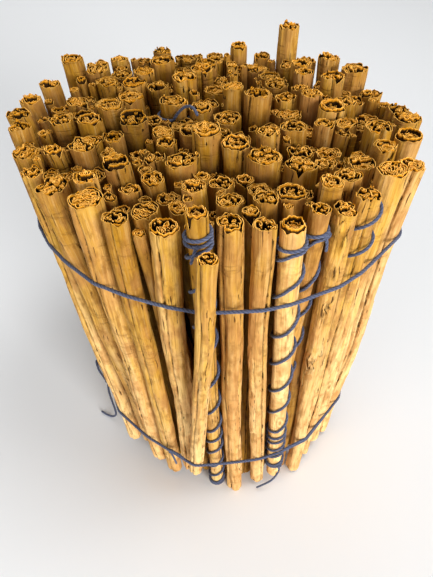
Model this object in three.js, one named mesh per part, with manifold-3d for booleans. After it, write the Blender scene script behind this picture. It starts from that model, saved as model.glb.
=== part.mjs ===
// A sheaf of cinnamon quills, standing on end and tied with two rounds of twine.
// The quills splay towards the top. Four of those in the front row are bound with a twine of their
// own, and one thin quill is pushed in later, outside the upper band and inside the lower one.
// Millimetres and degrees, +Z up, the floor at Z = 0. Azimuths run anticlockwise from +X.
import * as THREE from "three";
import { mergeVertices } from "three/addons/utils/BufferGeometryUtils.js";
import Module from "manifold-3d";

// ---------------------------------------------------------------- driving dimensions

const HEIGHT = 304; // floor to the mean height of the quills' ends
const RADIUS = 130; // of the sheaf at that height
const NARROWING = 0.00085; // share of the radius lost for each millimetre down
const LEAN = 12; // how far the sheaf's foot stands along +X of its top
const SEED = 11; // of every random draw
const SEATS = 118; // places tried for the quills inside the rim
const SEAT_RADIUS = 110; // of the circle that those places fill
const RIM_INSET = 8; // of the mean axis of the rim's quills inside RADIUS
const RIM_PITCH = 18; // space along the rim for each quill that fills a gap in it

const TWINE = 2; // diameter of all the twine
const GAP = 0.4; // clearance between the twine and what it is tied round
const UPPER_BAND = 248; // heights of the two bands
const LOWER_BAND = 57;
const BAND_BEND = 14; // most degrees that a band turns at one corner
const BAND_SIDES = 4;
const WRAP_SIDES = 3;
const CORD_SIDES = 8;

const WRAP_RISE = 0.6; // how much steeper a wound twine rises across the front than on the average
const WRAP_HIDDEN = 3 / 8; // part of a turn by which it starts and ends behind its quill

const CORE_TOP = 252; // the solid heart of the sheaf, which all the quills are fused to
const CORE_FOOT = 9;
const CORE_INSET = 9.5; // of its surface inside the sheaf's outline, at the top
const CORE_FOOT_INSET = 15; // and at the foot
const CORE_SIDES = 24;

const RIM_SIDES = 8; // of a quill's section
const INNER_SIDES = 7; // one less where its radius is not above THICK
const THICK = 8;
const STUB_SIDES = 5;
const WRAPPED_SIDES = 8;
const SEAM_DEPTH = 0.42; // of the seam between a quill's rolled edges, as a share of its radius
const BARK = 0.26; // thickness of the rolled wall at the end, as a share of the radius
const HOLLOW_DEPTH = 7; // of the hollow in the end of a quill
const RAGGED = 2.6; // how unevenly an end is broken off

const KEPT_WEIGHT = 0.3; // quills placed by hand weigh less than this and aren't clamped
const RIM_TAPER = 0.9; // a rim quill's radius at the floor against that at HEIGHT
const FOOT_TAPER = 0.8; // the same of an inner quill
const FOOT_PINCH = 0.93; // how close together the inner quills' feet start, against the rim's
const CROWN = 16; // how far above HEIGHT an inner quill may end at the middle of the sheaf
const CROWN_FALL = 0.1; // how much lower that limit is for each millimetre from the middle
const SOCKET = 6; // how far an inner quill's upper end reaches down into the core
const WRAP_ROOM = 2.9; // space kept clear round a quill that has a twine wound on it
const SLIVER = 0.05; // facets narrower than this are merged with their neighbours
const SCRAP = 300; // cubic millimetres, the most that a cut may leave loose

// The quills of the rim that are placed by hand: azimuth of the top and of the foot, diameter,
// height of the top and of the foot, and how far the top stands out of the sheaf's outline and the
// foot stands back from it. A name marks a quill with a twine of its own.
const RIM = [
  { azimuth: 189.5, footAzimuth: 190, diameter: 15, top: 307, foot: 28, out: 0, inset: -4 },
  { azimuth: 200.5, footAzimuth: 200.5, diameter: 19, top: 301, foot: 20, out: 0, inset: -3 },
  { azimuth: 211, footAzimuth: 211.5, diameter: 14.5, top: 300, foot: 16, out: 0, inset: 0 },
  { azimuth: 222, footAzimuth: 213, diameter: 20.5, top: 301, foot: 14, out: 0, inset: 0 },
  { azimuth: 236.5, footAzimuth: 226, diameter: 20, top: 306, foot: 12, out: 0, inset: 4 },
  { azimuth: 245, footAzimuth: 237.5, diameter: 15.5, top: 302, foot: 6, out: 0, inset: 5 },
  { azimuth: 257, footAzimuth: 246.5, diameter: 17.5, top: 301, foot: 14, out: 0, inset: 10 },
  { name: "a", azimuth: 268.6, footAzimuth: 263.2, diameter: 12, top: 316, foot: 0, out: 0, inset: 6 },
  { azimuth: 273.4, footAzimuth: 271.5, diameter: 16, top: 305, foot: 0, out: 0, inset: 1 },
  { azimuth: 280.8, footAzimuth: 285.5, diameter: 13.5, top: 306, foot: 6, out: 0, inset: 2 },
  { name: "b", azimuth: 288.3, footAzimuth: 297.5, diameter: 14, top: 303, foot: 10, out: 0, inset: 4 },
  { name: "c", azimuth: 293, footAzimuth: 302, diameter: 12, top: 307, foot: 6, out: -2, inset: 20.5 },
  { azimuth: 302, footAzimuth: 308.5, diameter: 14.5, top: 303, foot: 2, out: 0, inset: 6 },
  { name: "d", azimuth: 310.5, footAzimuth: 319, diameter: 15, top: 305, foot: 6, out: 1, inset: 4 },
  { azimuth: 320.5, footAzimuth: 331, diameter: 19, top: 311, foot: 10, out: 1, inset: 3 },
  { azimuth: 334, footAzimuth: 342.5, diameter: 17.5, top: 300, foot: 6, out: 5, inset: 2 },
  { azimuth: 345.5, footAzimuth: 350.5, diameter: 17.5, top: 305, foot: 26, out: 0, inset: 5 },
  { azimuth: 356.5, footAzimuth: 363.5, diameter: 19, top: 306, foot: 20, out: 2, inset: 2 },
  { azimuth: 393.5, footAzimuth: 395.5, diameter: 20.5, top: 308, foot: 0, out: 2, inset: 0 },
  { azimuth: 406, footAzimuth: 408, diameter: 17.5, top: 309, foot: 0, out: 0, inset: 0 },
  { azimuth: 423, footAzimuth: 423, diameter: 17, top: 327, foot: 10, out: 0, inset: 0 },
  { azimuth: 487, footAzimuth: 486, diameter: 15, top: 304, foot: 0, out: 0, inset: 0 },
  { azimuth: 496.5, footAzimuth: 496, diameter: 17, top: 305, foot: 6, out: 0, inset: 0 },
  { azimuth: 506, footAzimuth: 506, diameter: 17, top: 314, foot: 0, out: 3, inset: 0 },
  { azimuth: 518, footAzimuth: 517, diameter: 17, top: 305, foot: 0, out: 5, inset: 0 },
  { azimuth: 529.5, footAzimuth: 529, diameter: 16, top: 304, foot: 4, out: 5, inset: 0 },
  { azimuth: 539.5, footAzimuth: 539, diameter: 17.5, top: 304, foot: 10, out: 7, inset: 0 },
];

// The quills behind the front of the rim: azimuth, distance from the axis, diameter, height.
const SECOND_ROW = [
  { azimuth: 228, distance: 106, diameter: 14.5, top: 306 },
  { azimuth: 239.5, distance: 95, diameter: 12.5, top: 301 },
  { azimuth: 250.5, distance: 107.5, diameter: 16.5, top: 301 },
  { azimuth: 247, distance: 85, diameter: 15, top: 304 },
  { azimuth: 259, distance: 105, diameter: 11.5, top: 302 },
  { azimuth: 261, distance: 88, diameter: 15, top: 306 },
  { azimuth: 251.5, distance: 66, diameter: 18.5, top: 308 },
  { azimuth: 272.3, distance: 77, diameter: 15.5, top: 301 },
  { azimuth: 274, distance: 102, diameter: 14.5, top: 306 },
  { azimuth: 284.5, distance: 104, diameter: 13.5, top: 308 },
  { azimuth: 292.8, distance: 65, diameter: 20, top: 310 },
  { azimuth: 293, distance: 101, diameter: 16, top: 305 },
  { azimuth: 305.5, distance: 83, diameter: 20.5, top: 308 },
  { azimuth: 305.5, distance: 109, diameter: 15, top: 310 },
  { azimuth: 320.5, distance: 103, diameter: 17, top: 306 },
  { azimuth: 207.5, distance: 86, diameter: 20.5, top: 306 },
  { azimuth: 206.5, distance: 106, diameter: 11, top: 304 },
];

// The thin quill outside the upper band: azimuth and distance of its two ends.
const LEANING = {
  diameter: 11.8,
  top: { azimuth: 268.8, distance: 146.2, height: 303 },
  foot: { azimuth: 253.5, distance: 98.5, height: 32 },
};

// Heights at which each wound twine crosses the front of its quill, from the foot up.
const CROSSINGS = {
  a: [5, 8, 24, 43, 70, 88, 105, 134, 168, 206, 238, 270, 295, 299, 303],
  b: [31, 34, 51, 63, 76, 83, 95, 129, 158, 193, 221, 262, 288, 291],
  c: [102, 113, 146, 185, 223, 250, 289, 292],
  d: [268, 289],
};

// The two free ends of the lower band, from its knot on the left: steps along X, Y and Z.
const KNOT_AZIMUTH = 195;
const KNOT_RADIUS = 2.7;
const BOW = [
  [-1.3, -1.9, 2.9], [-1.7, -3.3, 7], [-2.4, -4.4, 11.5], [-3.5, -4.95, 16.2],
  [-4.9, -4.95, 20.8], [-5.7, -4.25, 23.6], [-6.5, -2.5, 25.7], [-7.3, -0.15, 26.5],
  [-7.8, 2.25, 25.8], [-7.95, 4.05, 23.7], [-7.6, 4.75, 20.8], [-6.4, 4.6, 16.4],
  [-5, 4, 12], [-3.7, 3, 7.8], [-2.7, 1.7, 4.6], [-2.2, 0.6, 3],
];
const TAIL = [
  [-0.9, -0.6, -3.4], [-1.2, -0.9, -7], [-1.2, -1.2, -12], [-0.8, -1.4, -18], [-0.3, -1.5, -24],
  [0.3, -1.5, -30], [0.9, -1.4, -36], [1.3, -1.2, -41.5], [1.4, -0.9, -46], [0.9, -0.5, -49.7],
  [-0.5, 0.1, -52.8], [-2.8, 1, -54.9], [-5.8, 2.2, -55.75], [-9, 3.8, -55.8],
  [-12.1, 5.7, -55.8], [-15, 8, -55.8],
];

// Twines whose ends stick up among the quills: the place of the quill that each is tied to, the
// depth of the tie below its end, and the steps of the loose end from there.
const INNER_TIES = [
  {
    azimuth: 158,
    distance: 36,
    depth: 9,
    end: [[4, 0, 6], [8, -3, 11], [12, -8, 14], [15, -13, 14], [17, -18, 12]],
  },
  {
    azimuth: 214,
    distance: 60,
    depth: 8,
    end: [[1, -1, 6], [3, -3, 11], [6, -4, 15], [9, -4, 15], [11, -2, 13]],
  },
];

const radians = THREE.MathUtils.degToRad;

// ---------------------------------------------------------------- layout of the quills

/** A small seeded generator of numbers from 0 to 1. */
function seeded(seed) {
  let state = seed >>> 0;
  return () => {
    state = (state + 0x6d2b79f5) >>> 0;
    let t = state;
    t = Math.imul(t ^ (t >>> 15), t | 1);
    t ^= t + Math.imul(t ^ (t >>> 7), t | 61);
    return ((t ^ (t >>> 14)) >>> 0) / 4294967296;
  };
}

/** Pushes overlapping circles apart, the light ones least, and keeps the heavy inside a limit. */
function relax(points, radii, weights, limit, rounds, gap) {
  for (let round = 0; round < rounds; round += 1) {
    for (let i = 0; i < points.length; i += 1) {
      for (let j = i + 1; j < points.length; j += 1) {
        const dx = points[j].x - points[i].x;
        const dy = points[j].y - points[i].y;
        const reach = radii[i] + radii[j] + gap;
        if (dx * dx + dy * dy >= reach * reach) continue;
        const distance = Math.sqrt(dx * dx + dy * dy);
        const push = (0.6 * (reach - distance)) / distance;
        const share = weights[i] / (weights[i] + weights[j]);
        points[i].x -= dx * push * share;
        points[i].y -= dy * push * share;
        points[j].x += dx * push * (1 - share);
        points[j].y += dy * push * (1 - share);
      }
    }
    points.forEach((point, i) => {
      const reach = limit - radii[i];
      const distance = Math.sqrt(point.x * point.x + point.y * point.y);
      if (distance > reach && weights[i] > KEPT_WEIGHT) point.multiplyScalar(reach / distance);
    });
  }
}

const polar = (azimuth, distance) =>
  new THREE.Vector2(distance * Math.cos(radians(azimuth)), distance * Math.sin(radians(azimuth)));

/** Every quill of the sheaf: its radius, its heights, and its place at HEIGHT and at the floor. */
function layOut() {
  const random = seeded(SEED);
  const quills = [];
  const footRadius = RADIUS * (1 - NARROWING * HEIGHT);
  const addToRim = (row, weight) => {
    const radius = row.diameter / 2;
    const at = polar(row.azimuth, RADIUS + (row.out ?? 0) - radius);
    quills.push({ ...row, radius, weight, rim: true, at });
  };
  const rimRadius = RADIUS - RIM_INSET;
  RIM.forEach((row, k) => {
    addToRim(row, 0.1);
    const next = RIM[(k + 1) % RIM.length];
    const turn = k + 1 === RIM.length ? 360 : 0;
    const sweep = next.azimuth + turn - row.azimuth;
    const free = radians(sweep) * rimRadius - row.diameter / 2 - next.diameter / 2;
    const diameters = Array.from({ length: Math.floor(free / RIM_PITCH) }, () => 13 + 6 * random());
    const gap = (free - diameters.reduce((sum, d) => sum + d, 0)) / (diameters.length + 1);
    let along = row.diameter / 2;
    for (const diameter of diameters) {
      along += gap + diameter / 2;
      const azimuth = row.azimuth + THREE.MathUtils.radToDeg(along / rimRadius);
      const share = (azimuth - row.azimuth) / sweep;
      const footAzimuth = row.footAzimuth + share * (next.footAzimuth + turn - row.footAzimuth);
      const top = HEIGHT - 6 + 10 * (random() + random() - 1);
      const foot = Math.max(0, 16 * random() - 6);
      addToRim({ azimuth, footAzimuth, diameter, top, foot }, 0.4);
      along += diameter / 2;
    }
  });
  for (const row of SECOND_ROW) {
    const foot = 6 * random();
    const at = polar(row.azimuth, row.distance);
    quills.push({ ...row, foot, radius: row.diameter / 2, weight: 0.2, at });
  }
  const goldenAngle = 180 * (3 - Math.sqrt(5));
  for (let seat = 0; seat < SEATS; seat += 1) {
    const distance = SEAT_RADIUS * Math.sqrt((seat + 0.5) / SEATS);
    const at = polar(seat * goldenAngle, distance);
    const radius = (11.5 + 4.6 * (random() + random())) / 2;
    const height = HEIGHT + 15 * (random() + random() - 1) - (random() < 0.12 ? 12 : 0);
    const top = Math.min(height, HEIGHT + CROWN - CROWN_FALL * distance);
    if (quills.some((q) => q.at.distanceTo(at) < 0.72 * (q.radius + radius) + 0.5)) continue;
    quills.push({ radius, top, foot: 6 * random(), weight: 1, at });
  }
  const tops = quills.map((q) => q.at);
  const room = (quill) => (quill.name ? TWINE / 2 + GAP : 0);
  const radii = quills.map((q) => q.radius + room(q));
  const weights = quills.map((q) => q.weight);
  relax(tops, radii, weights, RADIUS, 80, 1.2);
  relax(tops, radii, weights, RADIUS, 60, 0.8);
  for (const quill of quills) {
    quill.footRadius = (quill.rim ? RIM_TAPER : FOOT_TAPER) * quill.radius;
    quill.stand = quill.rim
      ? polar(quill.footAzimuth, footRadius - quill.footRadius - (quill.inset ?? 0))
      : quill.at.clone().multiplyScalar((FOOT_PINCH * footRadius) / RADIUS);
  }
  const footRadii = quills.map((q) => q.footRadius + room(q));
  relax(quills.map((q) => q.stand), footRadii, weights, footRadius, 120, 0.4);
  for (const quill of quills) quill.stand.x += LEAN;
  return quills;
}

/** The point of a quill's axis at a height. Its sections are all level. */
function axisAt(quill, height) {
  const { x, y } = quill.stand.clone().lerp(quill.at, height / HEIGHT);
  return new THREE.Vector3(x, y, height);
}

/** A quill's radius at a height. */
const radiusAt = (quill, height) => THREE.MathUtils.lerp(quill.footRadius, quill.radius, height / HEIGHT);

/** Leans a geometry that stands on the origin so that it follows a quill's axis. */
function follow(geometry, quill, base) {
  const low = axisAt(quill, base);
  const slope = axisAt(quill, base + 1).sub(low);
  const shear = new THREE.Matrix4().makeShear(0, 0, 0, 0, slope.x, slope.y);
  return geometry.applyMatrix4(shear).translate(low.x, low.y, low.z);
}

// ---------------------------------------------------------------- solids

const wasm = await Module();
wasm.setup();

/** A closed three.js geometry as a manifold-3d solid. */
function solidOf(geometry) {
  const bare = geometry.index ? geometry.toNonIndexed() : geometry.clone();
  for (const name of Object.keys(bare.attributes)) if (name !== "position") bare.deleteAttribute(name);
  const merged = mergeVertices(bare, 1e-4);
  return new wasm.Manifold(
    new wasm.Mesh({
      numProp: 3,
      vertProperties: merged.attributes.position.array,
      triVerts: new Uint32Array(merged.index.array),
    }),
  );
}

/** A manifold-3d solid as a three.js geometry, without slivers and the scraps that a cut leaves loose. */
function geometryOf(solid) {
  const [largest, ...loose] = solid.simplify(SLIVER).decompose().sort((a, b) => b.volume() - a.volume());
  if (loose.some((body) => body.volume() > SCRAP)) throw new Error("a piece stands loose of its solid");
  const mesh = largest.getMesh();
  const geometry = new THREE.BufferGeometry();
  geometry.setAttribute("position", new THREE.BufferAttribute(mesh.vertProperties, 3));
  geometry.setIndex(new THREE.BufferAttribute(mesh.triVerts, 1));
  const flat = geometry.toNonIndexed();
  flat.computeVertexNormals();
  return flat;
}

/** A quill from a base height up to its ragged, hollow end, with a seam where seam is set. */
function quillGeometry(quill, base, sides, random, seam) {
  const radius = radiusAt(quill, quill.top);
  const height = quill.top - base;
  const profile = [
    [0, 0],
    [radiusAt(quill, base), 0],
    [radius, height],
    [radius * (1 - BARK), height - 1],
    [0, height - HOLLOW_DEPTH],
  ].map(([x, y]) => new THREE.Vector2(x, y));
  const geometry = new THREE.LatheGeometry(profile, sides).rotateX(Math.PI / 2);
  const turn = random() * 2 * Math.PI;
  const slant = (random() - 0.5) * 0.5;
  const breaks = Array.from({ length: sides }, () => (random() - 0.5) * RAGGED);
  const place = geometry.attributes.position;
  for (let i = 0; i < place.count; i += 1) {
    const ring = i % profile.length;
    const side = Math.floor(i / profile.length) % sides;
    if (seam && side === 0 && ring > 0 && ring < 4) {
      place.setX(i, place.getX(i) * (1 - SEAM_DEPTH));
      place.setY(i, place.getY(i) * (1 - SEAM_DEPTH));
    }
    if (ring > 1) place.setZ(i, place.getZ(i) + (ring < 4 ? breaks[side] + slant * place.getX(i) : 0));
  }
  if (seam) geometry.rotateZ(turn);
  return follow(geometry, quill, base);
}

/** A plain tapering block under a quill's axis, from its foot to a height inside the core. */
function stubGeometry(quill) {
  const height = CORE_FOOT + 3 - quill.foot;
  const geometry = new THREE.CylinderGeometry(quill.footRadius, quill.footRadius, height, STUB_SIDES);
  geometry.rotateX(Math.PI / 2).translate(0, 0, height / 2);
  return follow(geometry, quill, quill.foot);
}

/** A column of air round a wound quill, with room for its twine. */
function roomGeometry(quill, base, height) {
  const low = radiusAt(quill, base) + WRAP_ROOM;
  const high = radiusAt(quill, base + height) + WRAP_ROOM;
  const geometry = new THREE.CylinderGeometry(high, low, height, WRAPPED_SIDES);
  geometry.rotateX(Math.PI / 2).translate(0, 0, height / 2);
  return follow(geometry, quill, base);
}

/** The heart of the sheaf, a cone that leans with it. */
function coreGeometry() {
  const outline = (height) => RADIUS * (1 - NARROWING * (HEIGHT - height));
  const high = outline(CORE_TOP) - CORE_INSET;
  const low = outline(CORE_FOOT) - CORE_FOOT_INSET;
  const height = CORE_TOP - CORE_FOOT;
  const geometry = new THREE.CylinderGeometry(high, low, height, CORE_SIDES);
  geometry.rotateX(Math.PI / 2).translate(0, 0, height / 2);
  const axis = { at: new THREE.Vector2(0, 0), stand: new THREE.Vector2(LEAN, 0) };
  return follow(geometry, axis, CORE_FOOT);
}

/** A path through points that a sweep passes in equal steps, one for each point. */
class PointPath extends THREE.Curve {
  constructor(points, closed) {
    super();
    this.points = closed ? [...points, points[0]] : points;
  }

  getUtoTmapping(u) {
    return u;
  }

  getPoint(t) {
    const place = t * (this.points.length - 1);
    const before = Math.min(Math.floor(place + 1e-9), this.points.length - 2);
    return this.points[before].clone().lerp(this.points[before + 1], place - before);
  }
}

/** A length of twine along points, closed into a loop or with two flat ends. */
function twineGeometry(points, sides, closed) {
  const path = new PointPath(points, closed);
  const steps = closed ? points.length : points.length - 1;
  if (closed) return new THREE.TubeGeometry(path, steps, TWINE / 2, sides, true);
  const section = new THREE.Shape();
  section.absarc(0, 0, TWINE / 2, 0, 2 * Math.PI);
  const outline = new THREE.Shape(section.getPoints(sides).slice(0, sides));
  return new THREE.ExtrudeGeometry(outline, { steps, extrudePath: path, bevelEnabled: false });
}

/** The quill that reaches furthest along an azimuth at a height. */
function outermost(quills, height, azimuth) {
  const out = polar(azimuth, 1);
  const reach = (quill) => {
    const axis = axisAt(quill, height);
    return axis.x * out.x + axis.y * out.y + radiusAt(quill, height);
  };
  return quills.reduce((a, b) => (reach(b) > reach(a) ? b : a));
}

/** A point beside a quill, at a height and along an azimuth, for the middle of what lies on it. */
function besideQuill(quill, height, azimuth, thickness) {
  const out = polar(azimuth, radiusAt(quill, height) + thickness / 2 + GAP);
  return axisAt(quill, height).add(new THREE.Vector3(out.x, out.y, 0));
}

/** The corners of a level loop of twine that is drawn tight round quills. */
function bandPoints(quills, height) {
  const touches = [];
  for (let azimuth = 0; azimuth < 360; azimuth += 1) {
    const quill = outermost(quills, height, azimuth);
    const last = touches[touches.length - 1];
    if (last && last.quill === quill) last.to = azimuth;
    else touches.push({ quill, from: azimuth, to: azimuth });
  }
  return touches.flatMap(({ quill, from, to }) => {
    const bends = Math.ceil((to - from) / BAND_BEND);
    if (to - from < BAND_BEND / 2) return [besideQuill(quill, height, (from + to) / 2, TWINE)];
    return Array.from({ length: bends + 1 }, (_, k) =>
      besideQuill(quill, height, from + ((to - from) * k) / bends, TWINE),
    );
  });
}

/** The turns of a twine wound on a quill, which rise from left to right across its front. */
function windingPoints(quill, crossings, sides, hidden) {
  const lead = Math.round(hidden * sides);
  const last = crossings.length - 2;
  const count = (last + 1) * sides + 2 * lead;
  return Array.from({ length: count + 1 }, (_, step) => {
    const k = step - lead;
    const turn = THREE.MathUtils.clamp(Math.floor(k / sides), 0, last);
    const share = k / sides - turn;
    const eased = share + (WRAP_RISE * Math.sin(2 * Math.PI * share)) / (2 * Math.PI);
    const height = THREE.MathUtils.lerp(crossings[turn], crossings[turn + 1], eased);
    return besideQuill(quill, height, 270 + (360 * k) / sides, TWINE);
  });
}

function knotGeometry(at) {
  return new THREE.IcosahedronGeometry(KNOT_RADIUS, 0).translate(at.x, at.y, at.z);
}

// ---------------------------------------------------------------- the scene graph

const BARK_COLOURS = { sheaf: "#c08a3c", leaning: "#c4904a", wrapped: "#c9984b" };
const TWINE_COLOUR = "#5c6478";

const sheaf = new THREE.Group();

function addMesh(name, geometry, color, roughness) {
  const material = new THREE.MeshStandardMaterial({ color, roughness, metalness: 0 });
  const mesh = new THREE.Mesh(geometry, material);
  mesh.name = name;
  sheaf.add(mesh);
  return mesh;
}

const quills = layOut();
const random = seeded(SEED + 1);
const wrapped = quills.filter((q) => q.name);

// A quill outside the rim stands on a line between its two given ends.
const leaningEnd = ({ azimuth, distance, height }) =>
  polar(azimuth, distance).add(new THREE.Vector2(LEAN * (1 - height / HEIGHT), 0));
const leaningTop = leaningEnd(LEANING.top);
const leaningFoot = leaningEnd(LEANING.foot);
const climb = LEANING.top.height - LEANING.foot.height;
const leaning = {
  radius: LEANING.diameter / 2,
  footRadius: LEANING.diameter / 2,
  top: LEANING.top.height,
  foot: LEANING.foot.height,
  at: leaningFoot.clone().lerp(leaningTop, (HEIGHT - LEANING.foot.height) / climb),
  stand: leaningFoot.clone().lerp(leaningTop, -LEANING.foot.height / climb),
};

/** The quill whose end is nearest to a place. */
function nearest({ azimuth, distance }) {
  const place = polar(azimuth, distance);
  return quills.reduce((a, b) => (b.at.distanceTo(place) < a.at.distanceTo(place) ? b : a));
}

const tied = INNER_TIES.map(nearest);
let bundle = solidOf(coreGeometry());
for (const quill of quills) {
  if (quill.name) continue;
  if (quill.rim) {
    bundle = bundle.add(solidOf(quillGeometry(quill, quill.foot, RIM_SIDES, random, true)));
    continue;
  }
  bundle = bundle.add(solidOf(stubGeometry(quill)));
  if (tied.includes(quill)) continue;
  const sides = quill.radius > THICK ? INNER_SIDES : INNER_SIDES - 1;
  bundle = bundle.add(solidOf(quillGeometry(quill, CORE_TOP - SOCKET, sides, random, true)));
}
for (const quill of wrapped) bundle = bundle.subtract(solidOf(roomGeometry(quill, -20, HEIGHT + 60)));

// A twine that is tied inside the sheaf runs once round its quill and then leaves it.
const innerTwines = INNER_TIES.map((tie, k) => {
  const quill = tied[k];
  const height = quill.top - tie.depth;
  bundle = bundle.subtract(solidOf(roomGeometry(quill, height - 4, 6)));
  bundle = bundle.add(solidOf(quillGeometry(quill, CORE_TOP - SOCKET, INNER_SIDES, random, false)));
  const turn = windingPoints(quill, [height - 2.5, height], INNER_SIDES, 0);
  const last = turn[turn.length - 1];
  return [...turn, ...tie.end.map(([x, y, z]) => last.clone().add(new THREE.Vector3(x, y, z)))];
});
addMesh("cinnamon_sticks", geometryOf(bundle), BARK_COLOURS.sheaf, 0.75);

const leaningSolid = solidOf(quillGeometry(leaning, leaning.foot, RIM_SIDES, random, true));
addMesh("leaning_stick", geometryOf(leaningSolid), BARK_COLOURS.leaning, 0.75);

for (const quill of wrapped) {
  const stick = solidOf(quillGeometry(quill, quill.foot, WRAPPED_SIDES, random, false));
  addMesh("wrapped_stick_" + quill.name, geometryOf(stick), BARK_COLOURS.wrapped, 0.75);
  const turns = windingPoints(quill, CROSSINGS[quill.name], WRAPPED_SIDES, WRAP_HIDDEN);
  addMesh("twine_wrap_" + quill.name, twineGeometry(turns, WRAP_SIDES, false), TWINE_COLOUR, 0.9);
}

innerTwines.forEach((points, k) => {
  addMesh("inner_twine_" + (k + 1), twineGeometry(points, WRAP_SIDES, false), TWINE_COLOUR, 0.9);
});

addMesh("upper_band", twineGeometry(bandPoints(quills, UPPER_BAND), BAND_SIDES, true), TWINE_COLOUR, 0.9);

const bound = [...quills, leaning];
const knotQuill = outermost(bound, LOWER_BAND, KNOT_AZIMUTH);
const knotAt = besideQuill(knotQuill, LOWER_BAND, KNOT_AZIMUTH, 2 * KNOT_RADIUS);
const lowerBand = solidOf(twineGeometry(bandPoints(bound, LOWER_BAND), BAND_SIDES, true));
addMesh("lower_band", geometryOf(lowerBand.add(solidOf(knotGeometry(knotAt)))), TWINE_COLOUR, 0.9);

const firm = new THREE.Box3().setFromObject(sheaf);

const route = (steps) => steps.map(([x, y, z]) => knotAt.clone().add(new THREE.Vector3(x, y, z)));
addMesh("band_bow", twineGeometry(route(BOW), CORD_SIDES, false), TWINE_COLOUR, 0.9);
addMesh("band_tail", twineGeometry(route(TAIL), CORD_SIDES, false), TWINE_COLOUR, 0.9);

// The origin is on the floor, under the middle of everything but the free ends of the band.
const middle = firm.getCenter(new THREE.Vector3());
sheaf.position.set(-middle.x, -middle.y, -firm.min.z);

const part = new THREE.Group();
part.add(sheaf);

export default part;
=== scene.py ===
"""A standing sheaf of cinnamon quills, tied with two rounds of slate-blue twine.

Every quill is a roll of thin bark: a skin with a lengthwise seam and torn ends, and curled
strips of bark packed inside it. Plans are in millimetres and the meshes in metres. Azimuths
are in degrees, anticlockwise from +X.
"""

import logging
import math
from collections.abc import Callable, Sequence
from dataclasses import dataclass, field
from enum import Enum
from functools import cached_property

import bpy
import numpy as np
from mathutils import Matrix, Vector


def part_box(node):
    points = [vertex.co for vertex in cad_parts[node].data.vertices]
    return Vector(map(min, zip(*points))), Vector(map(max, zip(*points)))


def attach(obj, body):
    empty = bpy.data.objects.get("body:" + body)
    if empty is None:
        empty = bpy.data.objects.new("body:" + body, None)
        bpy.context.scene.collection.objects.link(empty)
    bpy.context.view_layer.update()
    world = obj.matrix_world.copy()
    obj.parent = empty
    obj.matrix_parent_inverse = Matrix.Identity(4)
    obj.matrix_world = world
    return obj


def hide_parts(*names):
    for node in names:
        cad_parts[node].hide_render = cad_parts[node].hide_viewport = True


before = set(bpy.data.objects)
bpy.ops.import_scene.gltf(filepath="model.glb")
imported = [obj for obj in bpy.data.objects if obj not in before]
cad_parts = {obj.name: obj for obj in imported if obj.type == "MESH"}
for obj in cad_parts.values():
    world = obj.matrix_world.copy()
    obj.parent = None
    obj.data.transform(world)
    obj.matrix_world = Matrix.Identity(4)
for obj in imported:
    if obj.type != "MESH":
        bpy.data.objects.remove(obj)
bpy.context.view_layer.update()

Array = np.ndarray
Color = tuple[float, float, float]
Steps = tuple[tuple[float, float, float], ...]  # along X, Y and Z, in millimetres
log = logging.getLogger("sheaf")

MM = 0.001
PICTURE = (433, 577)  # width and height of the picture, in pixels

HEIGHT = 304.0  # floor to the mean height of the quills' ends
RADIUS = 130.0  # of the sheaf at that height
NARROWING = 0.00085  # share of the radius lost for each millimetre down
LEAN = 12.0  # how far the sheaf's foot stands along +X of its top
UPPER_BAND = 248.0
LOWER_BAND = 57.0
TWINE = 2.0  # diameter of all the twine
GAP = 0.4  # clearance between the solids of twine and quill
WRAP_RISE = 0.6  # how much steeper a wound twine rises across the front than on the average
WRAP_HIDDEN = 3 / 8  # part of a turn by which it starts and ends behind its quill


class Roll(Enum):
    """How the bark of a quill is rolled, as its ends show."""

    SCROLL = "scroll"  # one sheet, rolled up from one edge
    HORNS = "horns"  # both edges rolled in until they meet
    PACKED = "packed"  # a plain tube, stuffed with small curls
    PAIRED = "paired"  # two narrow rolls side by side in one skin
    FOLDED = "folded"  # sheets folded to and fro in the tube
    HOLLOW = "hollow"  # a loose roll with an open middle


def vectors(*parts: Array | float) -> Array:
    """Their parts, which broadcast, joined along a new last dimension."""
    return np.stack(np.broadcast_arrays(*parts), axis=-1)


def turn_steps(count: int) -> Array:
    """Angles in equal steps round a full turn, in radians, without the last."""
    return np.linspace(0, math.tau, count, endpoint=False)


def linked(name: str, data: bpy.types.ID) -> bpy.types.Object:
    """A new object of some data, linked to the scene."""
    made = bpy.data.objects.new(name, data)
    bpy.context.scene.collection.objects.link(made)
    return made


# ---------------------------------------------------------------- random draws


class Draw:
    """A small seeded generator of numbers from 0 to 1, on 32-bit arithmetic."""

    BITS = 0xFFFFFFFF

    def __init__(self, seed: int) -> None:
        """Starts the generator from a seed."""
        self.state = seed & self.BITS

    def __call__(self) -> float:
        """The next number."""
        self.state = (self.state + 0x6D2B79F5) & self.BITS
        t = self.state
        t = ((t ^ (t >> 15)) * (t | 1)) & self.BITS
        t ^= (t + (((t ^ (t >> 7)) * (t | 61)) & self.BITS)) & self.BITS
        return ((t ^ (t >> 14)) & self.BITS) / 4294967296


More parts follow.
